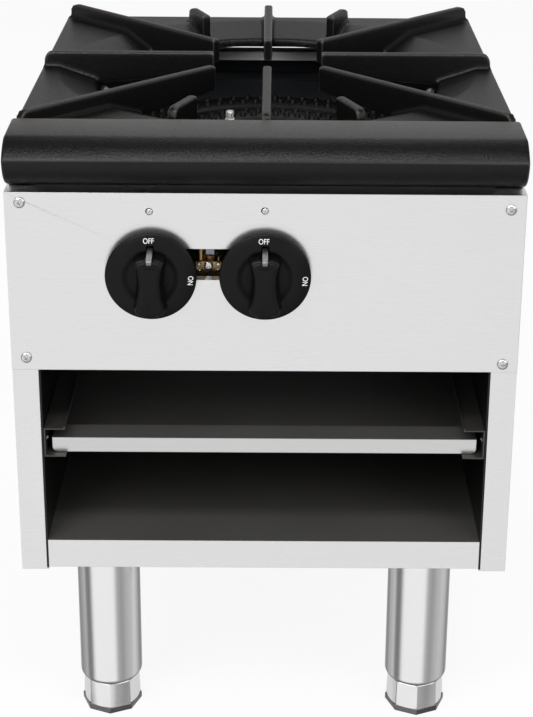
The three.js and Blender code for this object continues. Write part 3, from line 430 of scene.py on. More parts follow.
def circle(axis, centre, radius, along, steps, turn):
    x, y, z = centre
    loop = []
    for i in range(steps):
        angle = turn + 2 * pi * i / steps
        a, b = radius * cos(angle), radius * sin(angle)
        loop.append({"x": (x + along, y + a, z + b), "y": (x + a, y + along, z + b),
                     "z": (x + a, y + b, z + along)}[axis])
    return loop


def lathe(bm, profile, centre, axis, steps, ring=False, turn=0.0):
    """Turns (radius, distance along the axis) pairs about an axis through centre."""
    loft(bm, [circle(axis, centre, r, h, steps, turn) for r, h in profile], ring)


def nut(bm, centre, radius, low, high, turn):
    """A hexagon with its ends chamfered, on an upright axis."""
    lathe(bm, [(radius * 0.9, low), (radius, low + 0.5), (radius, high - 0.5),
               (radius * 0.9, high)], (*centre, 0), "z", 6, turn=turn)


def block(bm, low, high):
    outline = rectangle(*low[:2], *high[:2])
    loft(bm, [[(x, y, z) for x, y in outline] for z in (low[2], high[2])])


def bent_route(places, bend):
    """The corners of a route with each inner one rounded off."""
    steps = 8
    points = [Vector(place) for place in places]
    route = [points[0]]
    for before, corner, after in zip(points, points[1:], points[2:]):
        enter = corner + (before - corner).normalized() * bend
        leave = corner + (after - corner).normalized() * bend
        for i in range(steps + 1):
            t = i / steps
            route.append(enter * (1 - t) ** 2 + corner * 2 * t * (1 - t) + leave * t ** 2)
    return route + [points[-1]]


def tube(bm, route, radius, steps):
    """A round bar along a route."""
    loops, side = [], None
    for i, point in enumerate(route):
        ahead = (route[min(i + 1, len(route) - 1)] - route[max(i - 1, 0)]).normalized()
        if side is None:
            side = ahead.orthogonal().normalized()
        side = (side - ahead * side.dot(ahead)).normalized()
        other = ahead.cross(side)
        loops.append([point + side * radius * cos(a) + other * radius * sin(a)
                      for a in (2 * pi * k / steps for k in range(steps))])
    loft(bm, loops)


def arc(centre, radii, start, end, steps):
    """Points on an elliptical arc, angles in degrees."""
    angles = [radians(start + (end - start) * i / steps) for i in range(steps + 1)]
    return [(centre[0] + radii[0] * cos(a), centre[1] + radii[1] * sin(a)) for a in angles]


def plain_object(bm, name):
    mesh = bpy.data.meshes.new(name)
    bmesh.ops.recalc_face_normals(bm, faces=bm.faces)
    bm.to_mesh(mesh)
    bm.free()
    obj = bpy.data.objects.new(name, mesh)
    bpy.context.scene.collection.objects.link(obj)
    return obj


def discard(obj):
    mesh = obj.data
    bpy.data.objects.remove(obj)
    bpy.data.meshes.remove(mesh)


def evaluated(obj):
    """A bmesh of the object with its modifiers applied; the object goes."""
    graph = bpy.context.evaluated_depsgraph_get()
    result = bmesh.new()
    result.from_mesh(obj.evaluated_get(graph).to_mesh())
    discard(obj)
    return result


def carved(body, cutter):
    """The body less the cutter."""
    whole, tool = plain_object(body, "whole"), plain_object(cutter, "tool")
    cut = whole.modifiers.new("cut", "BOOLEAN")
    cut.object, cut.operation, cut.solver = tool, "DIFFERENCE", "EXACT"
    cut.use_self = True
    result = evaluated(whole)
    discard(tool)
    return result


def piece(name, bm, finishes, slot, stands_for=(), body="cabinet", edge=0.0, sharp=32,
          flat=False):
    """Makes the shape a piece of the range: finishes, shading and body; the slot is not used."""
    obj = plain_object(bm, name)
    for each in finishes:
        obj.data.materials.append(finish(each))
    if not flat:
        obj.data.shade_smooth()
        obj.data.set_sharp_from_angle(angle=radians(sharp))
    if edge:
        rounding = obj.modifiers.new("rounded edges", "BEVEL")
        rounding.width, rounding.segments = edge * MM, 2
        rounding.limit_method, rounding.angle_limit = "ANGLE", radians(sharp)
    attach(obj, body)
    if stands_for:
        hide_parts(*stands_for)
    return obj


def cleaned_copy(node):
    """The node's solid as a bmesh with its flat faces whole again."""
    bm = bmesh.new()
    bm.from_mesh(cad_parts[node].data)
    bmesh.ops.remove_doubles(bm, verts=bm.verts, dist=0.002 * MM)
    bmesh.ops.dissolve_limit(bm, angle_limit=radians(0.5), verts=bm.verts, edges=bm.edges)
    return bm


def dressed(node, finishes, slot, pick=None, **looks):
    """The node's own shape with rounded edges, and a finish for each face."""
    bm = cleaned_copy(node)
    for face in bm.faces:
        face.material_index = pick(face) if pick else 0
    return piece(f"{node}_dressed", bm, finishes, slot, [node], **looks)


def folded(node, finishes, edge, pick=None, body="cabinet"):
    """A node of folded sheet: flat faces, rounded edges."""
    return dressed(node, finishes, "stainless sheet", pick, body=body, edge=edge, flat=True)


def kept(node, name):
    """A node that stays as it is, with its finish."""
    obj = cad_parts[node]
    obj.data.materials.clear()
    obj.data.materials.append(finish(name))


# ------------------------------------------------------------------ pieces

class Build:
    """What the operators share: each builds its pieces from the sidebar's settings."""
    bl_options = {"REGISTER", "UNDO"}

    def execute(self, context):
        self.build(context.scene)
        return {"FINISHED"}


# Greys of the room that gloss mirrors, by degrees from the front. Overhead they go from the front
# wall at 0 by the lit strip at 50 and the dark ceiling to the rear wall at 180. On the floor they
# go round from the left, and bring light and dark bands to the round legs. Close by the range,
# where a steep look down ends, the floor is a darker grey, a painted shadow of the range on the
# floor in what gloss mirrors.
ROOM_GREYS = ((-180, 0.5), (-1, 0.5), (0, 0.9), (12, 0.8), (26, 0.34), (40, 0.3), (47, 0.95),
              (60, 0.95), (70, 0.12), (112, 0.08), (140, 0.25), (162, 0.46), (180, 0.5))
FLOOR_GREYS = ((-180, 0.78), (-126, 0.78), (-114, 0.6), (-101, 0.6), (-91, 0.16), (-74, 0.12),
               (-58, 1.0), (20, 1.0), (32, 0.42), (50, 0.28), (68, 0.45), (92, 0.55),
               (112, 0.78), (180, 0.78))
UNDER_RANGE_SHADOW_GREY = 0.22
WHITE = (1, 1, 1, 1)

# The camera as it was solved on the photo, with the millimetres that it stands right of the
# middle, the degrees that it looks right and leans, and the place where its axis meets the frame
FOCAL_PX = 1718.0
AXIS_PX = (283.57, 235.0)
ASIDE, YAW, ROLL = 6.45, radians(0.382), radians(0.5)

# Lamps: size in metres across and up, and place in millimetres. All look at LAMP_AIM.
LAMPS = {"key": ((1.7, 1.7), (-1400, -1900, 2250)), "fill": ((1.5, 1.5), (1750, -1500, 1500)),
         "top": ((1.5, 1.5), (150, 1500, 2100)), "strip": ((1.8, 0.44), (0, -1040, 2304))}
LAMP_AIM = (0, 200, 380)

# The floor: its half width and thickness in millimetres, how far it lies under the feet, and the
# shares that the eye sees as plain white and that gloss sees through
FLOOR_REACH, FLOOR_THICKNESS, FLOOR_GAP = 4000, 20, 0.05
FLOOR_WHITE, FLOOR_CLEAR = 0.9, 0.92


class RANGE_OT_stage(Build, bpy.types.Operator):
    """Camera, soft lamps, background and floor"""
    bl_idname = "range.stage"
    bl_label = "Studio"

    def build(self, scene):
        studio = scene.range_studio
        self.place_camera(scene, studio)
        self.light(scene, studio)
        self.world(scene, studio)
        self.floor(studio)
        scene.view_settings.view_transform = "Standard"

    def place_camera(self, scene, studio):
        ahead = Vector((sin(YAW) * cos(studio.pitch), cos(YAW) * cos(studio.pitch),
                        -sin(studio.pitch)))
        right = Vector((cos(YAW), -sin(YAW), 0))
        up = right.cross(ahead)
        level = right * cos(ROLL) + up * sin(ROLL)
        upright = up * cos(ROLL) - right * sin(ROLL)
        data = bpy.data.cameras.new("camera")
        camera = bpy.data.objects.new("camera", data)
        scene.collection.objects.link(camera)
        turn = Matrix((level, upright, -ahead)).transposed()
        camera.matrix_world = Matrix.Translation(
            at(ASIDE, -studio.distance / MM, studio.height / MM)) @ turn.to_4x4()
        data.lens = FOCAL_PX * data.sensor_width / FRAME_HEIGHT_PX
        data.shift_x = (FRAME_WIDTH_PX / 2 - AXIS_PX[0]) / FRAME_HEIGHT_PX
        data.shift_y = (AXIS_PX[1] - FRAME_HEIGHT_PX / 2) / FRAME_HEIGHT_PX
        data.clip_end = 30
        scene.camera = camera

    def light(self, scene, studio):
        for name, (size, place) in LAMPS.items():
            data = bpy.data.lights.new(name, "AREA")
            data.shape = "RECTANGLE"
            data.energy = getattr(studio, f"{name}_power")
            data.size, data.size_y = size
            lamp = bpy.data.objects.new(name, data)
            lamp.location = at(*place)
            towards = at(*LAMP_AIM) - lamp.location
            lamp.rotation_euler = towards.to_track_quat("-Z", "Y").to_euler()
            scene.collection.objects.link(lamp)

    def seen(self, tree, rays):
        """One where the eye looks straight at it or through glass, and else zero."""
        return add(tree, "ShaderNodeMath", {
            0: rays.outputs["Is Camera Ray"], 1: rays.outputs["Is Transmission Ray"]},
            operation="MAXIMUM").outputs[0]

    def world(self, scene, studio):
        """White to the eye, even light on the object, and a graded room in its reflections."""
        world = bpy.data.worlds.new("soft studio")
        scene.world = world
        world.use_nodes = True
        tree = world.node_tree
        tree.nodes.clear()
        rays = add(tree, "ShaderNodeLightPath")
        even = add(tree, "ShaderNodeBackground", {"Color": WHITE, "Strength": studio.ambient})
        backdrop = add(tree, "ShaderNodeBackground", {"Color": WHITE, "Strength": 1.0})
        room = add(tree, "ShaderNodeBackground", {
            "Color": self.room_tones(tree), "Strength": 1.0})
        lit = add(tree, "ShaderNodeMixShader", {
            0: rays.outputs["Is Glossy Ray"], 1: even.outputs[0], 2: room.outputs[0]})
        mixed = add(tree, "ShaderNodeMixShader", {
            0: self.seen(tree, rays), 1: lit.outputs[0], 2: backdrop.outputs[0]})
        add(tree, "ShaderNodeOutputWorld", {"Surface": mixed.outputs[0]})

    def room_tones(self, tree):
        """Greys of the room: its walls and ceiling by height, its floor by direction."""
        place = add(tree, "ShaderNodeTexCoord")
        way = add(tree, "ShaderNodeSeparateXYZ", {0: place.outputs["Generated"]})
        forward = add(tree, "ShaderNodeMath", {0: way.outputs["Y"], 1: -1.0},
                      operation="MULTIPLY")
        over = self.turn_share(tree, way.outputs["Z"], forward.outputs[0])
        round_floor = self.turn_share(tree, way.outputs["X"], forward.outputs[0])
        above = self.greys(tree, over, ROOM_GREYS)
        far = self.greys(tree, round_floor, FLOOR_GREYS)
        # Painted shadow: steep looks down onto the floor close by the range see a darker grey for
        # the range's shadow
        under_range_shadow = add(tree, "ShaderNodeMapRange", {
            "Value": way.outputs["Z"], "From Min": -0.66, "From Max": -0.9})
        below = add(tree, "ShaderNodeMix", {
            0: under_range_shadow.outputs[0], 6: far, 7: shade(WHITE, UNDER_RANGE_SHADOW_GREY)}, data_type="RGBA")
        share = add(tree, "ShaderNodeMapRange", {
            "Value": way.outputs["Z"], "From Min": -0.06, "From Max": 0.06})
        mixed = add(tree, "ShaderNodeMix", {
            0: share.outputs[0], 6: below.outputs[2], 7: above}, data_type="RGBA")
        return mixed.outputs[2]

    def turn_share(self, tree, aside, forward):
        """The angle from the front, from -180 to 180 degrees, as a share from 0 to 1."""
        angle = add(tree, "ShaderNodeMath", {0: aside, 1: forward}, operation="ARCTAN2")
        share = add(tree, "ShaderNodeMapRange", {
            "Value": angle.outputs[0], "From Min": -pi, "From Max": pi})
        return share.outputs[0]

    def greys(self, tree, share, stops):
        """A ramp of greys by angle in degrees."""
        ramp = add(tree, "ShaderNodeValToRGB", {0: share})
        steps = ramp.color_ramp.elements
        while len(steps) < len(stops):
            steps.new(0.5)
        for step, (angle, grey) in zip(steps, stops):
            step.position = angle / 360 + 0.5
            step.color = (grey, grey, grey, 1)
        return ramp.outputs[0]

    def floor(self, studio):
        bm = bmesh.new()
        block(bm, (-FLOOR_REACH, -FLOOR_REACH, -FLOOR_THICKNESS),
              (FLOOR_REACH, FLOOR_REACH, -FLOOR_GAP))
        obj = plain_object(bm, "studio_floor")
        # Painted studio floor: matt and pale. The picture sees most of it as plain white, and
        # the rest carries the range's shadow. Gloss sees through most of it to the room's greys.
        material, tree, shader = new_finish("floor_painted", Roughness=0.9)
        wear = streaks(tree, (400, 400, 400), 2.0)
        tinted(tree, shader, list(studio.floor_colour), wear, 0.985, 1.0)
        rays = add(tree, "ShaderNodeLightPath")
        strong = add(tree, "ShaderNodeMath", {0: self.seen(tree, rays), 1: FLOOR_WHITE},
                     operation="MULTIPLY")
        soft = add(tree, "ShaderNodeMath", {
            0: rays.outputs["Is Glossy Ray"], 1: FLOOR_CLEAR}, operation="MULTIPLY")
        white = add(tree, "ShaderNodeEmission", {"Color": WHITE, "Strength": 1.0})
        pale = add(tree, "ShaderNodeMixShader", {
            0: strong.outputs[0], 1: shader.outputs[0], 2: white.outputs[0]})
        clear = add(tree, "ShaderNodeBsdfTransparent")
        mixed = add(tree, "ShaderNodeMixShader", {
            0: soft.outputs[0], 1: pale.outputs[0], 2: clear.outputs[0]})
        tree.links.new(mixed.outputs[0], tree.nodes["Material Output"].inputs["Surface"])
        obj.data.materials.append(material)


class RANGE_OT_cabinet(Build, bpy.types.Operator):
    """Side panels, liners, back, shelf and the channels under it"""
    bl_idname = "range.cabinet"
    bl_label = "Cabinet"

    def build(self, scene):
        edge = scene.range_sheet.edge / MM
        for side in ("left", "right"):
            folded(f"side_panel_{side}", ["level_stainless"], edge * 0.5)
            # The liners get a near-black grey, painted shade of the bays
            kept(f"inner_liner_{side}", "bay_wall")
        lip_end = corners("back_panel")[0].y + 15
        shelf_lip, seam = 3.5, 0.25

        # The back panel's inside behind the burners gets a dark bluish grey, painted shade of the
        # burner box; its outside stays stainless and its lip gets the matt sheet
        def back_finish(face):
            if face.normal.y > -0.5:
                return 0
            return 1 if depth(face) > lip_end else 2

        folded("back_panel", ["level_stainless", "burner_wall", "mill_lip"], edge, back_finish)

        # The shelf's top inside the bay gets the dark sheet, painted shade, while its front lip
        # stays bright stainless
        def shelf_finish(face):
            return 1 if depth(face) > shelf_lip and face.normal.z > -0.5 else 0

        shelf = folded("bottom_shelf", ["level_stainless", "bay_floor"], edge * 0.4, shelf_finish)
        # The lip springs out until it all but meets the side panels, as a fine seam.
        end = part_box("bottom_shelf")[1].x
        for corner in shelf.data.vertices:
            if abs(corner.co.x) > end - 0.4 * MM:
                corner.co.x += copysign(seam * MM, corner.co.x)
        for node in ("base_channel_front", "base_channel_rear", "top_front_rail"):
            kept(node, "galvanised")
        # The baffle gets the same painted shade as the burner box's walls
        kept("burner_baffle", "burner_wall")
        for node in ("burner_crossbar_front", "burner_crossbar_rear"):
            kept(node, "galvanised")
            self.crossbar_nuts(node)
        self.back_screws()

    def crossbar_nuts(self, node):
        """Pale nuts and washers that hold the crossbar's ends to the liners."""
        y, (end, top) = middle(node).y, corners(node)[1].xz
        inset = 28
        bm = bmesh.new()
        for x in (inset - end, end - inset):
            lathe(bm, [(5.6, top), (5.6, top + 0.9)], (x, y, 0), "z", 28)
            nut(bm, (x, y), 4.9, top + 0.9, top + 5.4, 0.3)
            lathe(bm, [(2.6, top), (2.6, top + 6.4), (2.1, top + 7)], (x, y, 0), "z", 16)
        piece(f"{node}_nuts", bm, ["dull_zinc"], "chrome", sharp=35)

    def back_screws(self):
        bm = bmesh.new()
        x, back, head_height = 214, corners("back_panel")[1].y, 1.5
        for place in ((side, back - head_height, z) for side in (-x, x) for z in (188, 352, 500)):
            lathe(bm, [(4.6, 0), (4.6, 0.8), (3.6, 1.9), (1.6, 2.4)], place, "y", 20)
        piece("back_rivets", bm, ["nickel"], "chrome")


# Crown of a pan-head screw, as shares of its radius and height
PAN_HEAD = ((0.88, 0.0), (0.88, 0.14), (1.0, 0.16), (1.0, 0.34), (0.97, 0.5), (0.9, 0.66),
            (0.78, 0.8), (0.6, 0.9), (0.36, 0.97), (0.1, 1.0))
# How the cross of each panel screw stands, in degrees
SCREW_TURNS = {"upper_left": 20, "upper_right": 50, "lower_left": 35, "lower_right": 5}
# Small screws in holes over the dials: side, place across and up in millimetres, and turn.
# Each sits a little low and to the right in its hole.
VALVE_SCREWS = (("left", -101.6, 533.6, 25), ("right", -0.3, 534.8, 60))
VALVE_HOLE, HOLE_SHIFT = 3.15, 0.3


class RANGE_OT_control_panel(Build, bpy.types.Operator):
    """Control panel with its screws"""
    bl_idname = "range.control_panel"
    bl_label = "Control panel"

    def build(self, scene):
        sheet = scene.range_sheet
        holes = bmesh.new()
        for side, x, z, turn in VALVE_SCREWS:
            lathe(holes, [(VALVE_HOLE, -3), (VALVE_HOLE, 4)],
                  (x - HOLE_SHIFT, 0, z + HOLE_SHIFT), "y", 32)
        panel = carved(cleaned_copy("control_panel"), holes)
        piece("control_panel_dressed", panel, ["level_stainless"], "stainless sheet",
              ["control_panel"], edge=sheet.edge / MM, flat=True)
        for word, turn in SCREW_TURNS.items():
            x, z = middle(f"panel_screw_{word}").xz
            self.pan_head(f"panel_screw_head_{word}", x, z, sheet.screw / MM / 2, 2.7, turn,
                          [f"panel_screw_{word}"])
        for side, x, z, turn in VALVE_SCREWS:
            self.pan_head(f"valve_screw_{side}", x, z, 2.8, 1.1, turn)
            shank = bmesh.new()
            lathe(shank, [(1.6, -0.4), (1.6, 12)], (x, 0, z), "y", 16)
            piece(f"valve_screw_shank_{side}", shank, ["nickel"], "chrome")

    def pan_head(self, name, x, z, radius, height, turn, stands_for=()):
        """A pan-head screw with a cross recess on the panel's face."""
        bm = bmesh.new()
        lathe(bm, [(radius * r, -0.02 - height * h) for r, h in PAN_HEAD], (x, 0, z), "y", 40)
        recess = bmesh.new()
        reach, width = radius * 0.5, radius * 0.1
        for angle in (radians(turn), radians(turn + 90)):
            loft(recess, [
                [(x + a * share * cos(angle) - b * share * sin(angle), y,
                  z + a * share * sin(angle) + b * share * cos(angle))
                 for a, b in rectangle(-reach, -width, reach, width)]
                for share, y in ((1.0, -height - 0.6), (0.45, -height * 0.4))])
        piece(name, carved(bm, recess), ["nickel"], "chrome", stands_for, sharp=40)


# A dial's face from its rim's back edge, as millimetres in from its outside or, past the rim, as
# the radius itself, and how far each stands in front of the panel
DIAL_RIM = ((3.6, 3), (3.2, 3), (0.5, 7.6), (0, 8.5), (0.3, 9.2), (1.2, 9.7))
DIAL_FACE = ((33, 11.3), (28.0, 12.5), (26.6, 12.7), (25.4, 12.6), (23.8, 12.1), (21.6, 11.2),
             (19, 10.6), (4, 10.5))
FACE_SLOPE = atan2(1.6, 6.3)
# The grip bar: how far each outline stands in front of the panel, its top, its bottom and how
# much wider than the waist it is all round
GRIP_LEVELS = ((8.4, 22.6, -32.4, 3.4), (11.4, 22.5, -31.8, 2.2), (13.0, 22.4, -31.2, 1.0),
               (14.8, 22.4, -30.9, 0.3), (19, 22.3, -30.7, 0.0), (25.5, 22.2, -30.4, -0.3),
               (28.2, 21.6, -30.2, -0.6), (29.4, 20.9, -29.7, -1.3), (30.0, 19.6, -28.6, -2.6))
# Boxes that taper towards the panel: how far each end stands in front of it, half its width, its
# bottom and its top
POINTER_SLOT = ((32, 3.2, 18.6, 33), (7.0, 3.2, 20.4, 33))
POINTER = ((30.5, 2.3, 18.8, 21.6), (29.8, 2.5, 18.8, 22.6), (14.6, 2.5, 20.0, 27.2),
           (8.6, 2.5, 20.0, 27.6))
# Words on a dial: place across and up from its middle in millimetres, and turn in degrees
WORDS = {"OFF": ((-1.2, 34.2), 0), "ON": ((34.9, -2.6), -95)}
FONT_PER_CAPITAL = 1.38  # the font's size over the height of its capitals
LETTER_WIDTH = 0.8


class RANGE_OT_dials(Build, bpy.types.Operator):
    """Dials with their grip bars, pointers and printed words"""
    bl_idname = "range.dials"
    bl_label = "Dials"

    def build(self, scene):
        for side in ("left", "right"):
            x, z = middle(f"knob_{side}").xz
            self.dial(side, x, z, scene.range_dials)
            pointer = bmesh.new()
            self.tapered(pointer, x, z, POINTER)
            piece(f"pointer_{side}", pointer, ["pointer"], "chrome", [f"indicator_{side}"],
                  f"knob_body_{side}", edge=0.3)
            for word in WORDS:
                self.printed(word, side, x, z, scene.range_dials.lettering_height)
            kept(f"valve_stem_{side}", "aluminium")

    def dial(self, side, x, z, sizes):
        radius = sizes.diameter / MM / 2
        bm = bmesh.new()
        face = [(radius - inward, -out) for inward, out in DIAL_RIM]
        lathe(bm, face + [(r, -out) for r, out in DIAL_FACE], (x, 0, z), "y", 128)
        notch = bmesh.new()
        block(notch, (x - 3.5, -16, z + 20), (x + 3.5, -7, z + 30.6))
        bm = carved(bm, notch)
        grip = bmesh.new()
        waist = sizes.waist / MM
        loft(grip, [[(x + a, -out, z + b) for a, b in self.grip_loop(top, bottom, waist, grow)]
                    for out, top, bottom, grow in GRIP_LEVELS])
        slot = bmesh.new()
        self.tapered(slot, x, z, POINTER_SLOT)
        block(slot, (x - 4.7, -32, z + 15.2), (x + 4.7, -29.2, z + 15.9))
        bar = carved(grip, slot)
        mesh = bpy.data.meshes.new("bar")
        bar.to_mesh(mesh)
        bar.free()
        bm.from_mesh(mesh)
        bpy.data.meshes.remove(mesh)
        piece(f"dial_{side}", bm, ["phenolic"], "phenolic", [f"knob_{side}"],
              f"knob_body_{side}", sharp=38)

    def tapered(self, bm, x, z, ends):
        loft(bm, [[(x + a, -out, z + b) for a, b in rectangle(-half, low, half, high)]
                  for out, half, low, high in ends])

    def grip_loop(self, top, bottom, waist, grow):
        """The bar's outline: flared ends, narrow waist, round top."""
        cap, foot = 4.2, 5.0

        def half_width(h):
            flare = 3.7 * (h / 19) ** 2 if h >= 0 else 4.2 * min(1.0, -h / 26) ** 2
            return waist + flare + grow

        right = [(half_width(h), h) for h in
                 (bottom + foot + (top - cap - bottom - foot) * i / 14 for i in range(15))]
        shoulder, hem = half_width(top - cap), half_width(bottom + foot)
        head = arc((0, top - cap), (shoulder, cap), 0, 180, 16)[1:-1]
        heel = arc((0, bottom + foot), (hem, foot), 180, 360, 16)[1:-1]
        left = [(-a, b) for a, b in reversed(right)]
        return right + head + left + heel

    def printed(self, word, side, x, z, height):
        (across, over), turn = WORDS[word]
        text = bpy.data.curves.new(word, "FONT")
        text.body, text.size = word, height * FONT_PER_CAPITAL
        text.align_x, text.align_y = "CENTER", "CENTER"
        text.extrude, text.offset = 0.1 * MM, 0.02 * MM
        holder = bpy.data.objects.new(word, text)
        bpy.context.scene.collection.objects.link(holder)
        graph = bpy.context.evaluated_depsgraph_get()
        bm = bmesh.new()
        bm.from_mesh(holder.evaluated_get(graph).to_mesh())
        bpy.data.objects.remove(holder)
        bpy.data.curves.remove(text)
        slim = Matrix.Diagonal((LETTER_WIDTH, 1.0, 1.0, 1.0))
        spin = Matrix.Rotation(radians(turn), 4, "Z")
        stand = Matrix.Rotation(radians(90), 4, "X")
        ring, ring_out = DIAL_FACE[0]
        proud = 0.15
        out = ring_out + proud - (Vector((across, over)).length - ring) * tan(FACE_SLOPE)
        lean = Matrix.Rotation(-FACE_SLOPE, 4, Vector((over, 0, -across)).normalized())
        origin = Matrix.Translation(at(x + across, -out, z + over))
        bmesh.ops.transform(bm, matrix=origin @ lean @ stand @ spin @ slim, verts=bm.verts)
        piece(f"dial_{side}_{word.lower()}", bm, ["white_ink"], "phenolic",
              body=f"knob_body_{side}")


class RANGE_OT_nosing(Build, bpy.types.Operator):
    """Rounded cast nosing along the front"""
    bl_idname = "range.nosing"
    bl_label = "Nosing"

    def build(self, scene):
        low, high = corners("front_nosing")
        front, back, foot, top = low.y, high.y, low.z, high.z
        nose = foot + 28.7  # where the nosing is widest
        section = [(back, foot), (back, top - 0.6), (back - 0.6, top)]
        # The flat top turns down at a soft edge, and a slow curve from it meets the front in a
        # crease at the widest place
        tilts = [radians(17.5 + 37 * i / 14) for i in range(15)]
        bend = (5.5 - front) / (sin(tilts[-1]) - sin(tilts[0]))
        section += [(8.2, top - 0.1), (7.0, top - 0.25)]
        section += [(front + bend * (sin(tilts[-1]) - sin(tilt)),
                     nose + bend * (cos(tilt) - cos(tilts[-1]))) for tilt in tilts]
        section += arc((11, nose - 1.2), (11 - front, nose - 1.2 - foot), 180, 270, 20)
        heart = Vector((sum(y for y, z in section), sum(z for y, z in section))) / len(section)
        # Each end is rounded by drawing the section in towards its middle
        half = []
        for x, inset in ((0, 2.4), (0.35, 1.5), (1.0, 0.7), (1.8, 0.2), (2.6, 0), (226, 0)):
            inward = [(heart - Vector(point)).normalized() * inset for point in section]
            half.append([(x - high.x, y + step.x, z + step.y)
                         for (y, z), step in zip(section, inward)])
        mirrored = [[(-x, y, z) for x, y, z in loop] for loop in reversed(half[:-1])]
        bm = bmesh.new()
        loft(bm, half + mirrored)
        piece("front_nosing_cast", bm, ["grate_iron"], "cast iron", ["front_nosing"], sharp=40)


class RANGE_OT_grate(Build, bpy.types.Operator):
    """Finned cast grate, with the soft edges and corners of a casting"""
    bl_idname = "range.grate"
    bl_label = "Grate"

    def build(self, scene):
        bm = bmesh.new()
        bm.from_mesh(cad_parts["top_grate"].data)
        rough = plain_object(bm, "grate")
        cells = rough.modifiers.new("cells", "REMESH")
        cells.mode, cells.adaptivity = "VOXEL", 0.0
        cells.voxel_size = scene.range_castings.grate_grain
        softer = rough.modifiers.new("softer", "SMOOTH")
        softer.factor, softer.iterations = 0.5, 3
        piece("top_grate_cast", evaluated(rough), ["grate_iron"], "cast iron", ["top_grate"],
              "grate_body", sharp=80)


# Burner rings: their inner and outer radii, and the radii of their rows of ports
OUTER_RING, OUTER_ROWS = (120, 158), (132, 148)
MIDDLE_RING, MIDDLE_ROWS = (72, 104), (82, 94)
INNER_RING, INNER_ROWS = (24, 52), (33, 43)
RING_DEPTH, PORT_HEIGHT = 20, 4
# Posts under the rings: distance from the middle to each side, and forward and back
OUTER_POST, INNER_POST, POST_SPAN, POST_WIDTH = 113.7, 39, 80, 12
PORT = ((3.9, -0.4), (3.2, 0.8), (2.9, 3.4), (2.5, 4.0), (1.25, 4.0), (1.15, 2.0))
# Bell mouth of a mixing tube: radius, and distance behind the panel's face
BELL_MOUTH = ((6.5, 80), (17, 80), (17, 82), (13.6, 87), (13, 91), (10.4, 91), (10.4, 87.5),
              (15, 82.5), (6.5, 82))


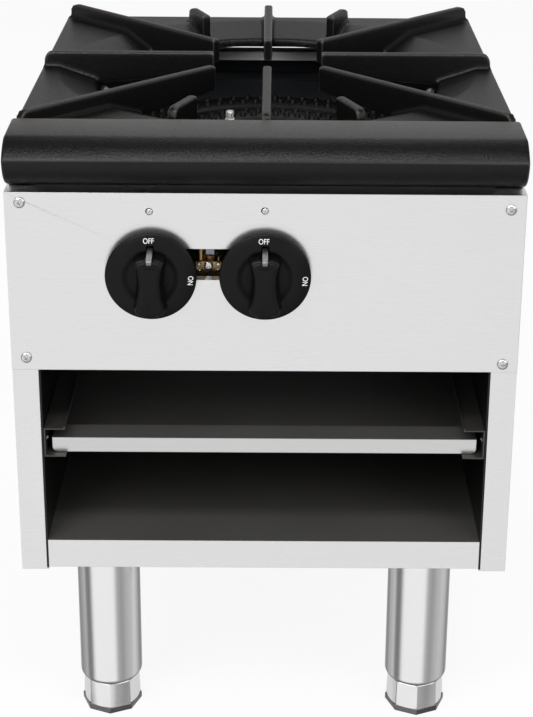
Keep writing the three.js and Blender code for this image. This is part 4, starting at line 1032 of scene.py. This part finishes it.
class RANGE_OT_burners(Build, bpy.types.Operator):
    """Burner castings with their raised, drilled ports, and the pilot burner"""
    bl_idname = "range.burners"
    bl_label = "Burners"

    def build(self, scene):
        sizes = scene.range_castings
        low, high = corners("outer_burner")
        self.top = high.z - PORT_HEIGHT
        self.bottom = self.top - RING_DEPTH
        self.centre = middle("top_grate").y
        outer = bmesh.new()
        self.ring(outer, *OUTER_RING)
        for row, radius in enumerate(OUTER_ROWS):
            self.ports(outer, radius, sizes.outer_ports, row)
        self.posts(outer, OUTER_POST, low.z)
        left, reach = 101, 139  # the left dial's distance from the middle, and the tube's end
        self.mixing_tube(outer, -left, self.centre - sqrt(reach ** 2 - left ** 2))
        piece("outer_burner_cast", outer, ["burner_iron"], "cast iron", ["outer_burner"],
              sharp=35)
        inner = bmesh.new()
        self.ring(inner, *MIDDLE_RING)
        self.ring(inner, *INNER_RING)
        for row, radius in enumerate(MIDDLE_ROWS):
            self.ports(inner, radius, sizes.middle_ports, row)
        for row, radius in enumerate(INNER_ROWS):
            self.ports(inner, radius, sizes.inner_ports - 4 * (1 - row), row)
        for x, y in ((-1, 0), (1, 0), (0, -1)):
            self.spoke(inner, x, y)
        self.posts(inner, INNER_POST, low.z)
        self.mixing_tube(inner, 0, self.centre - 88)
        piece("inner_burner_cast", inner, ["burner_iron"], "cast iron", ["inner_burner"],
              sharp=35)
        for node in ("air_shutter_outer", "air_shutter_inner", "pilot_bracket"):
            kept(node, "galvanised")
        self.pilot()

    def ring(self, bm, inner, outer):
        top, bottom = self.top, self.bottom
        profile = [(inner, bottom), (outer, bottom), (outer, top - 3), (outer - 0.6, top - 1.3),
                   (outer - 3, top), (inner + 3, top), (inner + 0.6, top - 1.3), (inner, top - 3)]
        lathe(bm, profile, (0, self.centre, 0), "z", 96, ring=True)

    def ports(self, bm, radius, number, row):
        for i in range(number):
            angle = 2 * pi * (i + row / 2) / number
            place = (radius * cos(angle), self.centre + radius * sin(angle), self.top)
            lathe(bm, PORT, place, "z", 10)

    def posts(self, bm, x, foot):
        half = POST_WIDTH / 2
        for px in (-x, x):
            for py in (self.centre - POST_SPAN, self.centre + POST_SPAN):
                block(bm, (px - half, py - half, foot), (px + half, py + half, self.bottom + 2))

    def spoke(self, bm, x, y):
        along, across = Vector((x, y, 0)), Vector((-y, x, 0))
        loft(bm, [[Vector((0, self.centre, z)) + along * r + across * w
                   for r, w in rectangle(48, -9, 76, 9)]
                  for z in (self.bottom, self.bottom + 13)])

    def mixing_tube(self, bm, x, rise_y):
        z = corners("valve_stem_left")[0].z + 4
        end = self.bottom + 3
        route = [(x, 87, z), (x, rise_y, z), (x, rise_y, end)]
        tube(bm, bent_route(route, end - z - 1), 13, 24)
        lathe(bm, BELL_MOUTH, (x, 0, z), "y", 40, ring=True)

    def pilot(self):
        foot, top = (corner.z for corner in corners("pilot_burner"))
        x, y = middle("pilot_burner").xy
        bm = bmesh.new()
        lathe(bm, [(3.2, foot), (4.5, foot + 0.5), (4.5, foot + 15), (3.3, foot + 16),
                   (3.3, top - 7), (4.3, top - 6.6), (4.3, top - 1.2), (3.6, top)],
              (x, y, 0), "z", 28)
        slots = bmesh.new()
        for turn in range(3):
            along = Vector((cos(pi * turn / 3), sin(pi * turn / 3), 0))
            across = Vector((-along.y, along.x, 0))
            loft(slots, [[Vector((x, y, z)) + along * a + across * b
                          for a, b in rectangle(-6, -0.45, 6, 0.45)]
                         for z in (top - 5.6, top - 2.0)])
        piece("pilot_burner_head", carved(bm, slots), ["dull_zinc"], "aluminium",
              ["pilot_burner"], sharp=35)
        collar = bmesh.new()
        lathe(collar, [(5.2, foot + 17), (5.6, foot + 17.6), (5.6, foot + 20.4), (5.2, foot + 21)],
              (x, y, 0), "z", 6, turn=0.3)
        piece("pilot_burner_nut", collar, ["dull_zinc"], "aluminium", edge=0.3)
        start = corners("pilot_tube")[0]
        from_x, level = middle("pilot_valve").x, start.z + 3
        route = [(from_x, start.y, level), (from_x, y - 42, level), (x, y - 15, level),
                 (x, y, level), (x, y, foot - 0.3)]
        pipe = bmesh.new()
        tube(pipe, bent_route(route, 7), 3, 16)
        piece("pilot_tube_bent", pipe, ["aluminium"], "aluminium", ["pilot_tube"])


class RANGE_OT_gas_train(Build, bpy.types.Operator):
    """Gas pipe, valves, orifices and the pilot valve seen through the slot"""
    bl_idname = "range.gas_train"
    bl_label = "Gas train"

    def build(self, scene):
        for node in ("gas_manifold", "manifold_end_cap", "gas_inlet_fitting"):
            dressed(node, ["black_pipe"], "black pipe", edge=0.3, sharp=40)
        for side in ("left", "right"):
            kept(f"manifold_bracket_{side}", "galvanised")
            dressed(f"valve_body_{side}", ["brass"], "brass", edge=0.4, sharp=40)
            dressed(f"orifice_{side}", ["brass"], "brass", edge=0.3, sharp=40)
        self.pilot_valve()

    def pilot_valve(self):
        low, high = corners("pilot_valve")
        x, front, back = middle("pilot_valve").x, low.y + 3, high.y
        top = 480.0  # the body's upper face, just over the slot's lower edge
        body = bmesh.new()
        block(body, (x - 12, front, top - 14), (x + 12, back - 3, top))
        lathe(body, [(7, low.z), (7, top - 2)], (x, back - 7, 0), "z", 24)
        piece("pilot_valve_body", body, ["brass"], "brass", ["pilot_valve"], edge=0.7)
        fittings = bmesh.new()
        lathe(fittings, [(4.8, top - 1), (4.8, top + 9), (4.1, top + 10), (4.1, top + 13)],
              (x - 7.4, front + 7, 0), "z", 24)
        nut(fittings, (x + 1.2, front + 8), 5.6, top - 1, top + 4.6, 0.2)
        nut(fittings, (x + 9, front + 6), 4.4, top + 4.4, top + 13, 0.5)
        lathe(fittings, [(2.1, top - 1), (2.1, top + 2.6), (3.6, top + 4.6)],
              (x + 9, front + 6, 0), "z", 18)
        piece("pilot_valve_fittings", fittings, ["brass"], "brass", sharp=35)
        cap = bmesh.new()
        block(cap, (x - 3, front + 4, top + 4.6), (x + 5.5, front + 12, top + 11))
        piece("pilot_valve_cap", cap, ["zinc"], "brass", edge=0.5)
        trim = bmesh.new()
        lathe(trim, [(3.0, front - 0.4), (4.0, front - 0.6), (4.0, front - 2.6), (3.4, front - 3),
                     (1.6, front - 3), (1.4, front - 1.6)], (x, 0, top - 4), "y", 24)
        for dx, dz in ((-8.6, -2.6), (8.6, -2.4), (-8.4, -9.6), (8.8, -9.2)):
            lathe(trim, [(1.9, front + 0.2), (1.9, front - 0.6), (1.2, front - 1.2)],
                  (x + dx, 0, top + dz), "y", 16)
        piece("pilot_valve_screws", trim, ["nickel"], "brass", sharp=35)


class RANGE_OT_tray(Build, bpy.types.Operator):
    """Drip tray, its rails and their rivets"""
    bl_idname = "range.tray"
    bl_label = "Drip tray"

    def build(self, scene):
        edge, radius = scene.range_sheet.edge / MM, scene.range_sheet.rivet / MM / 2
        front = corners("drip_tray")[0].y

        # The tray's front is the darker stainless copy and its inside the dark sheet, both painted
        # shade
        def tray_finish(face):
            return 0 if abs(depth(face) - front) < 0.06 and face.normal.y < -0.5 else 1

        folded("drip_tray", ["tray_stainless_shaded", "bay_floor"], edge, tray_finish, "tray_body")
        rivets = bmesh.new()
        for side, sign in (("left", 1), ("right", -1)):
            # The rails get a dark sheet grey, painted shade of the bay
            folded(f"tray_rail_{side}", ["rail_sheet"], edge)
            low, high = corners(f"tray_rail_{side}")
            web, level = (low.x if sign > 0 else high.x) + 1.5 * sign, (low.z + high.z) / 2 - 1
            profile = [(radius * share, along * sign) for share, along in
                       ((1, 0), (1, 0.5), (0.75, 1.3), (0.3, 1.7))]
            for y in (14, 250, 470):
                lathe(rivets, profile, (web, y, level), "x", 20)
        piece("rail_rivets", rivets, ["nickel"], "chrome")


class RANGE_OT_legs(Build, bpy.types.Operator):
    """Leg tubes and their adjustable feet"""
    bl_idname = "range.legs"
    bl_label = "Legs"

    def build(self, scene):
        for word in ("front_left", "front_right", "rear_left", "rear_right"):
            low, high = corners(f"leg_{word}")
            x, y = middle(f"leg_{word}").xy
            self.leg(word, x, y, high.x - x, low.z, high.z)
            self.foot(word, x, y, low.z)

    def leg(self, word, x, y, radius, foot, top):
        bend, wall, stem_hole = 6, 1.6, 8.6
        bm = bmesh.new()
        curve = [(radius - bend + bend * sin(t), foot + bend - bend * cos(t))
                 for t in (radians(10 * i) for i in range(10))]
        lathe(bm, [(stem_hole, foot + 0.02)] + curve +
              [(radius, top), (radius - wall, top), (radius - wall, foot + 8),
               (stem_hole, foot + 8)], (x, y, 0), "z", 96, ring=True)
        piece(f"leg_{word}_tube", bm, ["leg_tube"], "foot metal", [f"leg_{word}"], sharp=50)

    def foot(self, word, x, y, leg_foot):
        """Eight slightly crowned faces over a thin rim plate."""
        crown, half_face = 0.42, radians(22.5)
        body = bmesh.new()
        loops = []
        for radius, z in ((8, 2), (27.6, 2), (28.2, 7), (27.2, leg_foot - 0.3),
                          (8, leg_foot - 0.3), (8, 60)):
            loop = []
            for i in range(64):
                turn = radians(i * 360 / 64)
                flat = cos(half_face) / cos(turn % (2 * half_face) - half_face)
                reach = radius * (flat + crown * (1 - flat))
                loop.append((x + reach * cos(turn), y + reach * sin(turn), z))
            loops.append(loop)
        loft(body, loops)
        piece(f"foot_{word}_body", body, ["cast_foot"], "foot metal", [f"foot_{word}"],
              f"foot_body_{word}", edge=0.5, sharp=25)
        plate = bmesh.new()
        lathe(plate, [(20, 0), (28.6, 0), (29.3, 0.8), (29.3, 6.2), (28.4, 7.2), (20, 7.2)],
              (x, y, 0), "z", 8)
        piece(f"foot_{word}_plate", plate, ["foot_plate"], "foot metal",
              body=f"foot_body_{word}", edge=0.4, sharp=25)


class RANGE_PT_sidebar(bpy.types.Panel):
    """Builds the range piece by piece"""
    bl_idname = "RANGE_PT_sidebar"
    bl_label = "Stock pot range"
    bl_space_type = "VIEW_3D"
    bl_region_type = "UI"
    bl_category = "Range"

    def draw(self, context):
        for operator in OPERATORS:
            self.layout.operator(operator.bl_idname)
        for name, group in SETTINGS.items():
            box = self.layout.box()
            box.label(text=group.__doc__)
            for key in group.__annotations__:
                box.prop(getattr(context.scene, name), key)


SETTINGS = {
    "range_studio": StudioSettings, "range_finishes": FinishColours, "range_dials": DialSizes,
    "range_castings": CastingSizes, "range_sheet": SheetSizes,
}
OPERATORS = (
    RANGE_OT_stage, RANGE_OT_cabinet, RANGE_OT_control_panel, RANGE_OT_dials, RANGE_OT_nosing,
    RANGE_OT_grate, RANGE_OT_burners, RANGE_OT_gas_train, RANGE_OT_tray, RANGE_OT_legs,
)


def register():
    for name, group in SETTINGS.items():
        bpy.utils.register_class(group)
        setattr(bpy.types.Scene, name, PointerProperty(type=group))
    for each in (*OPERATORS, RANGE_PT_sidebar):
        bpy.utils.register_class(each)


def unregister():
    for each in reversed((*OPERATORS, RANGE_PT_sidebar)):
        bpy.utils.unregister_class(each)
    for name, group in reversed(SETTINGS.items()):
        delattr(bpy.types.Scene, name)
        bpy.utils.unregister_class(group)


def main():
    register()
    bpy.ops.range.stage()
    bpy.ops.range.cabinet()
    bpy.ops.range.control_panel()
    bpy.ops.range.dials()
    bpy.ops.range.nosing()
    bpy.ops.range.grate()
    bpy.ops.range.burners()
    bpy.ops.range.gas_train()
    bpy.ops.range.tray()
    bpy.ops.range.legs()


if __name__ == "__main__":
    main()
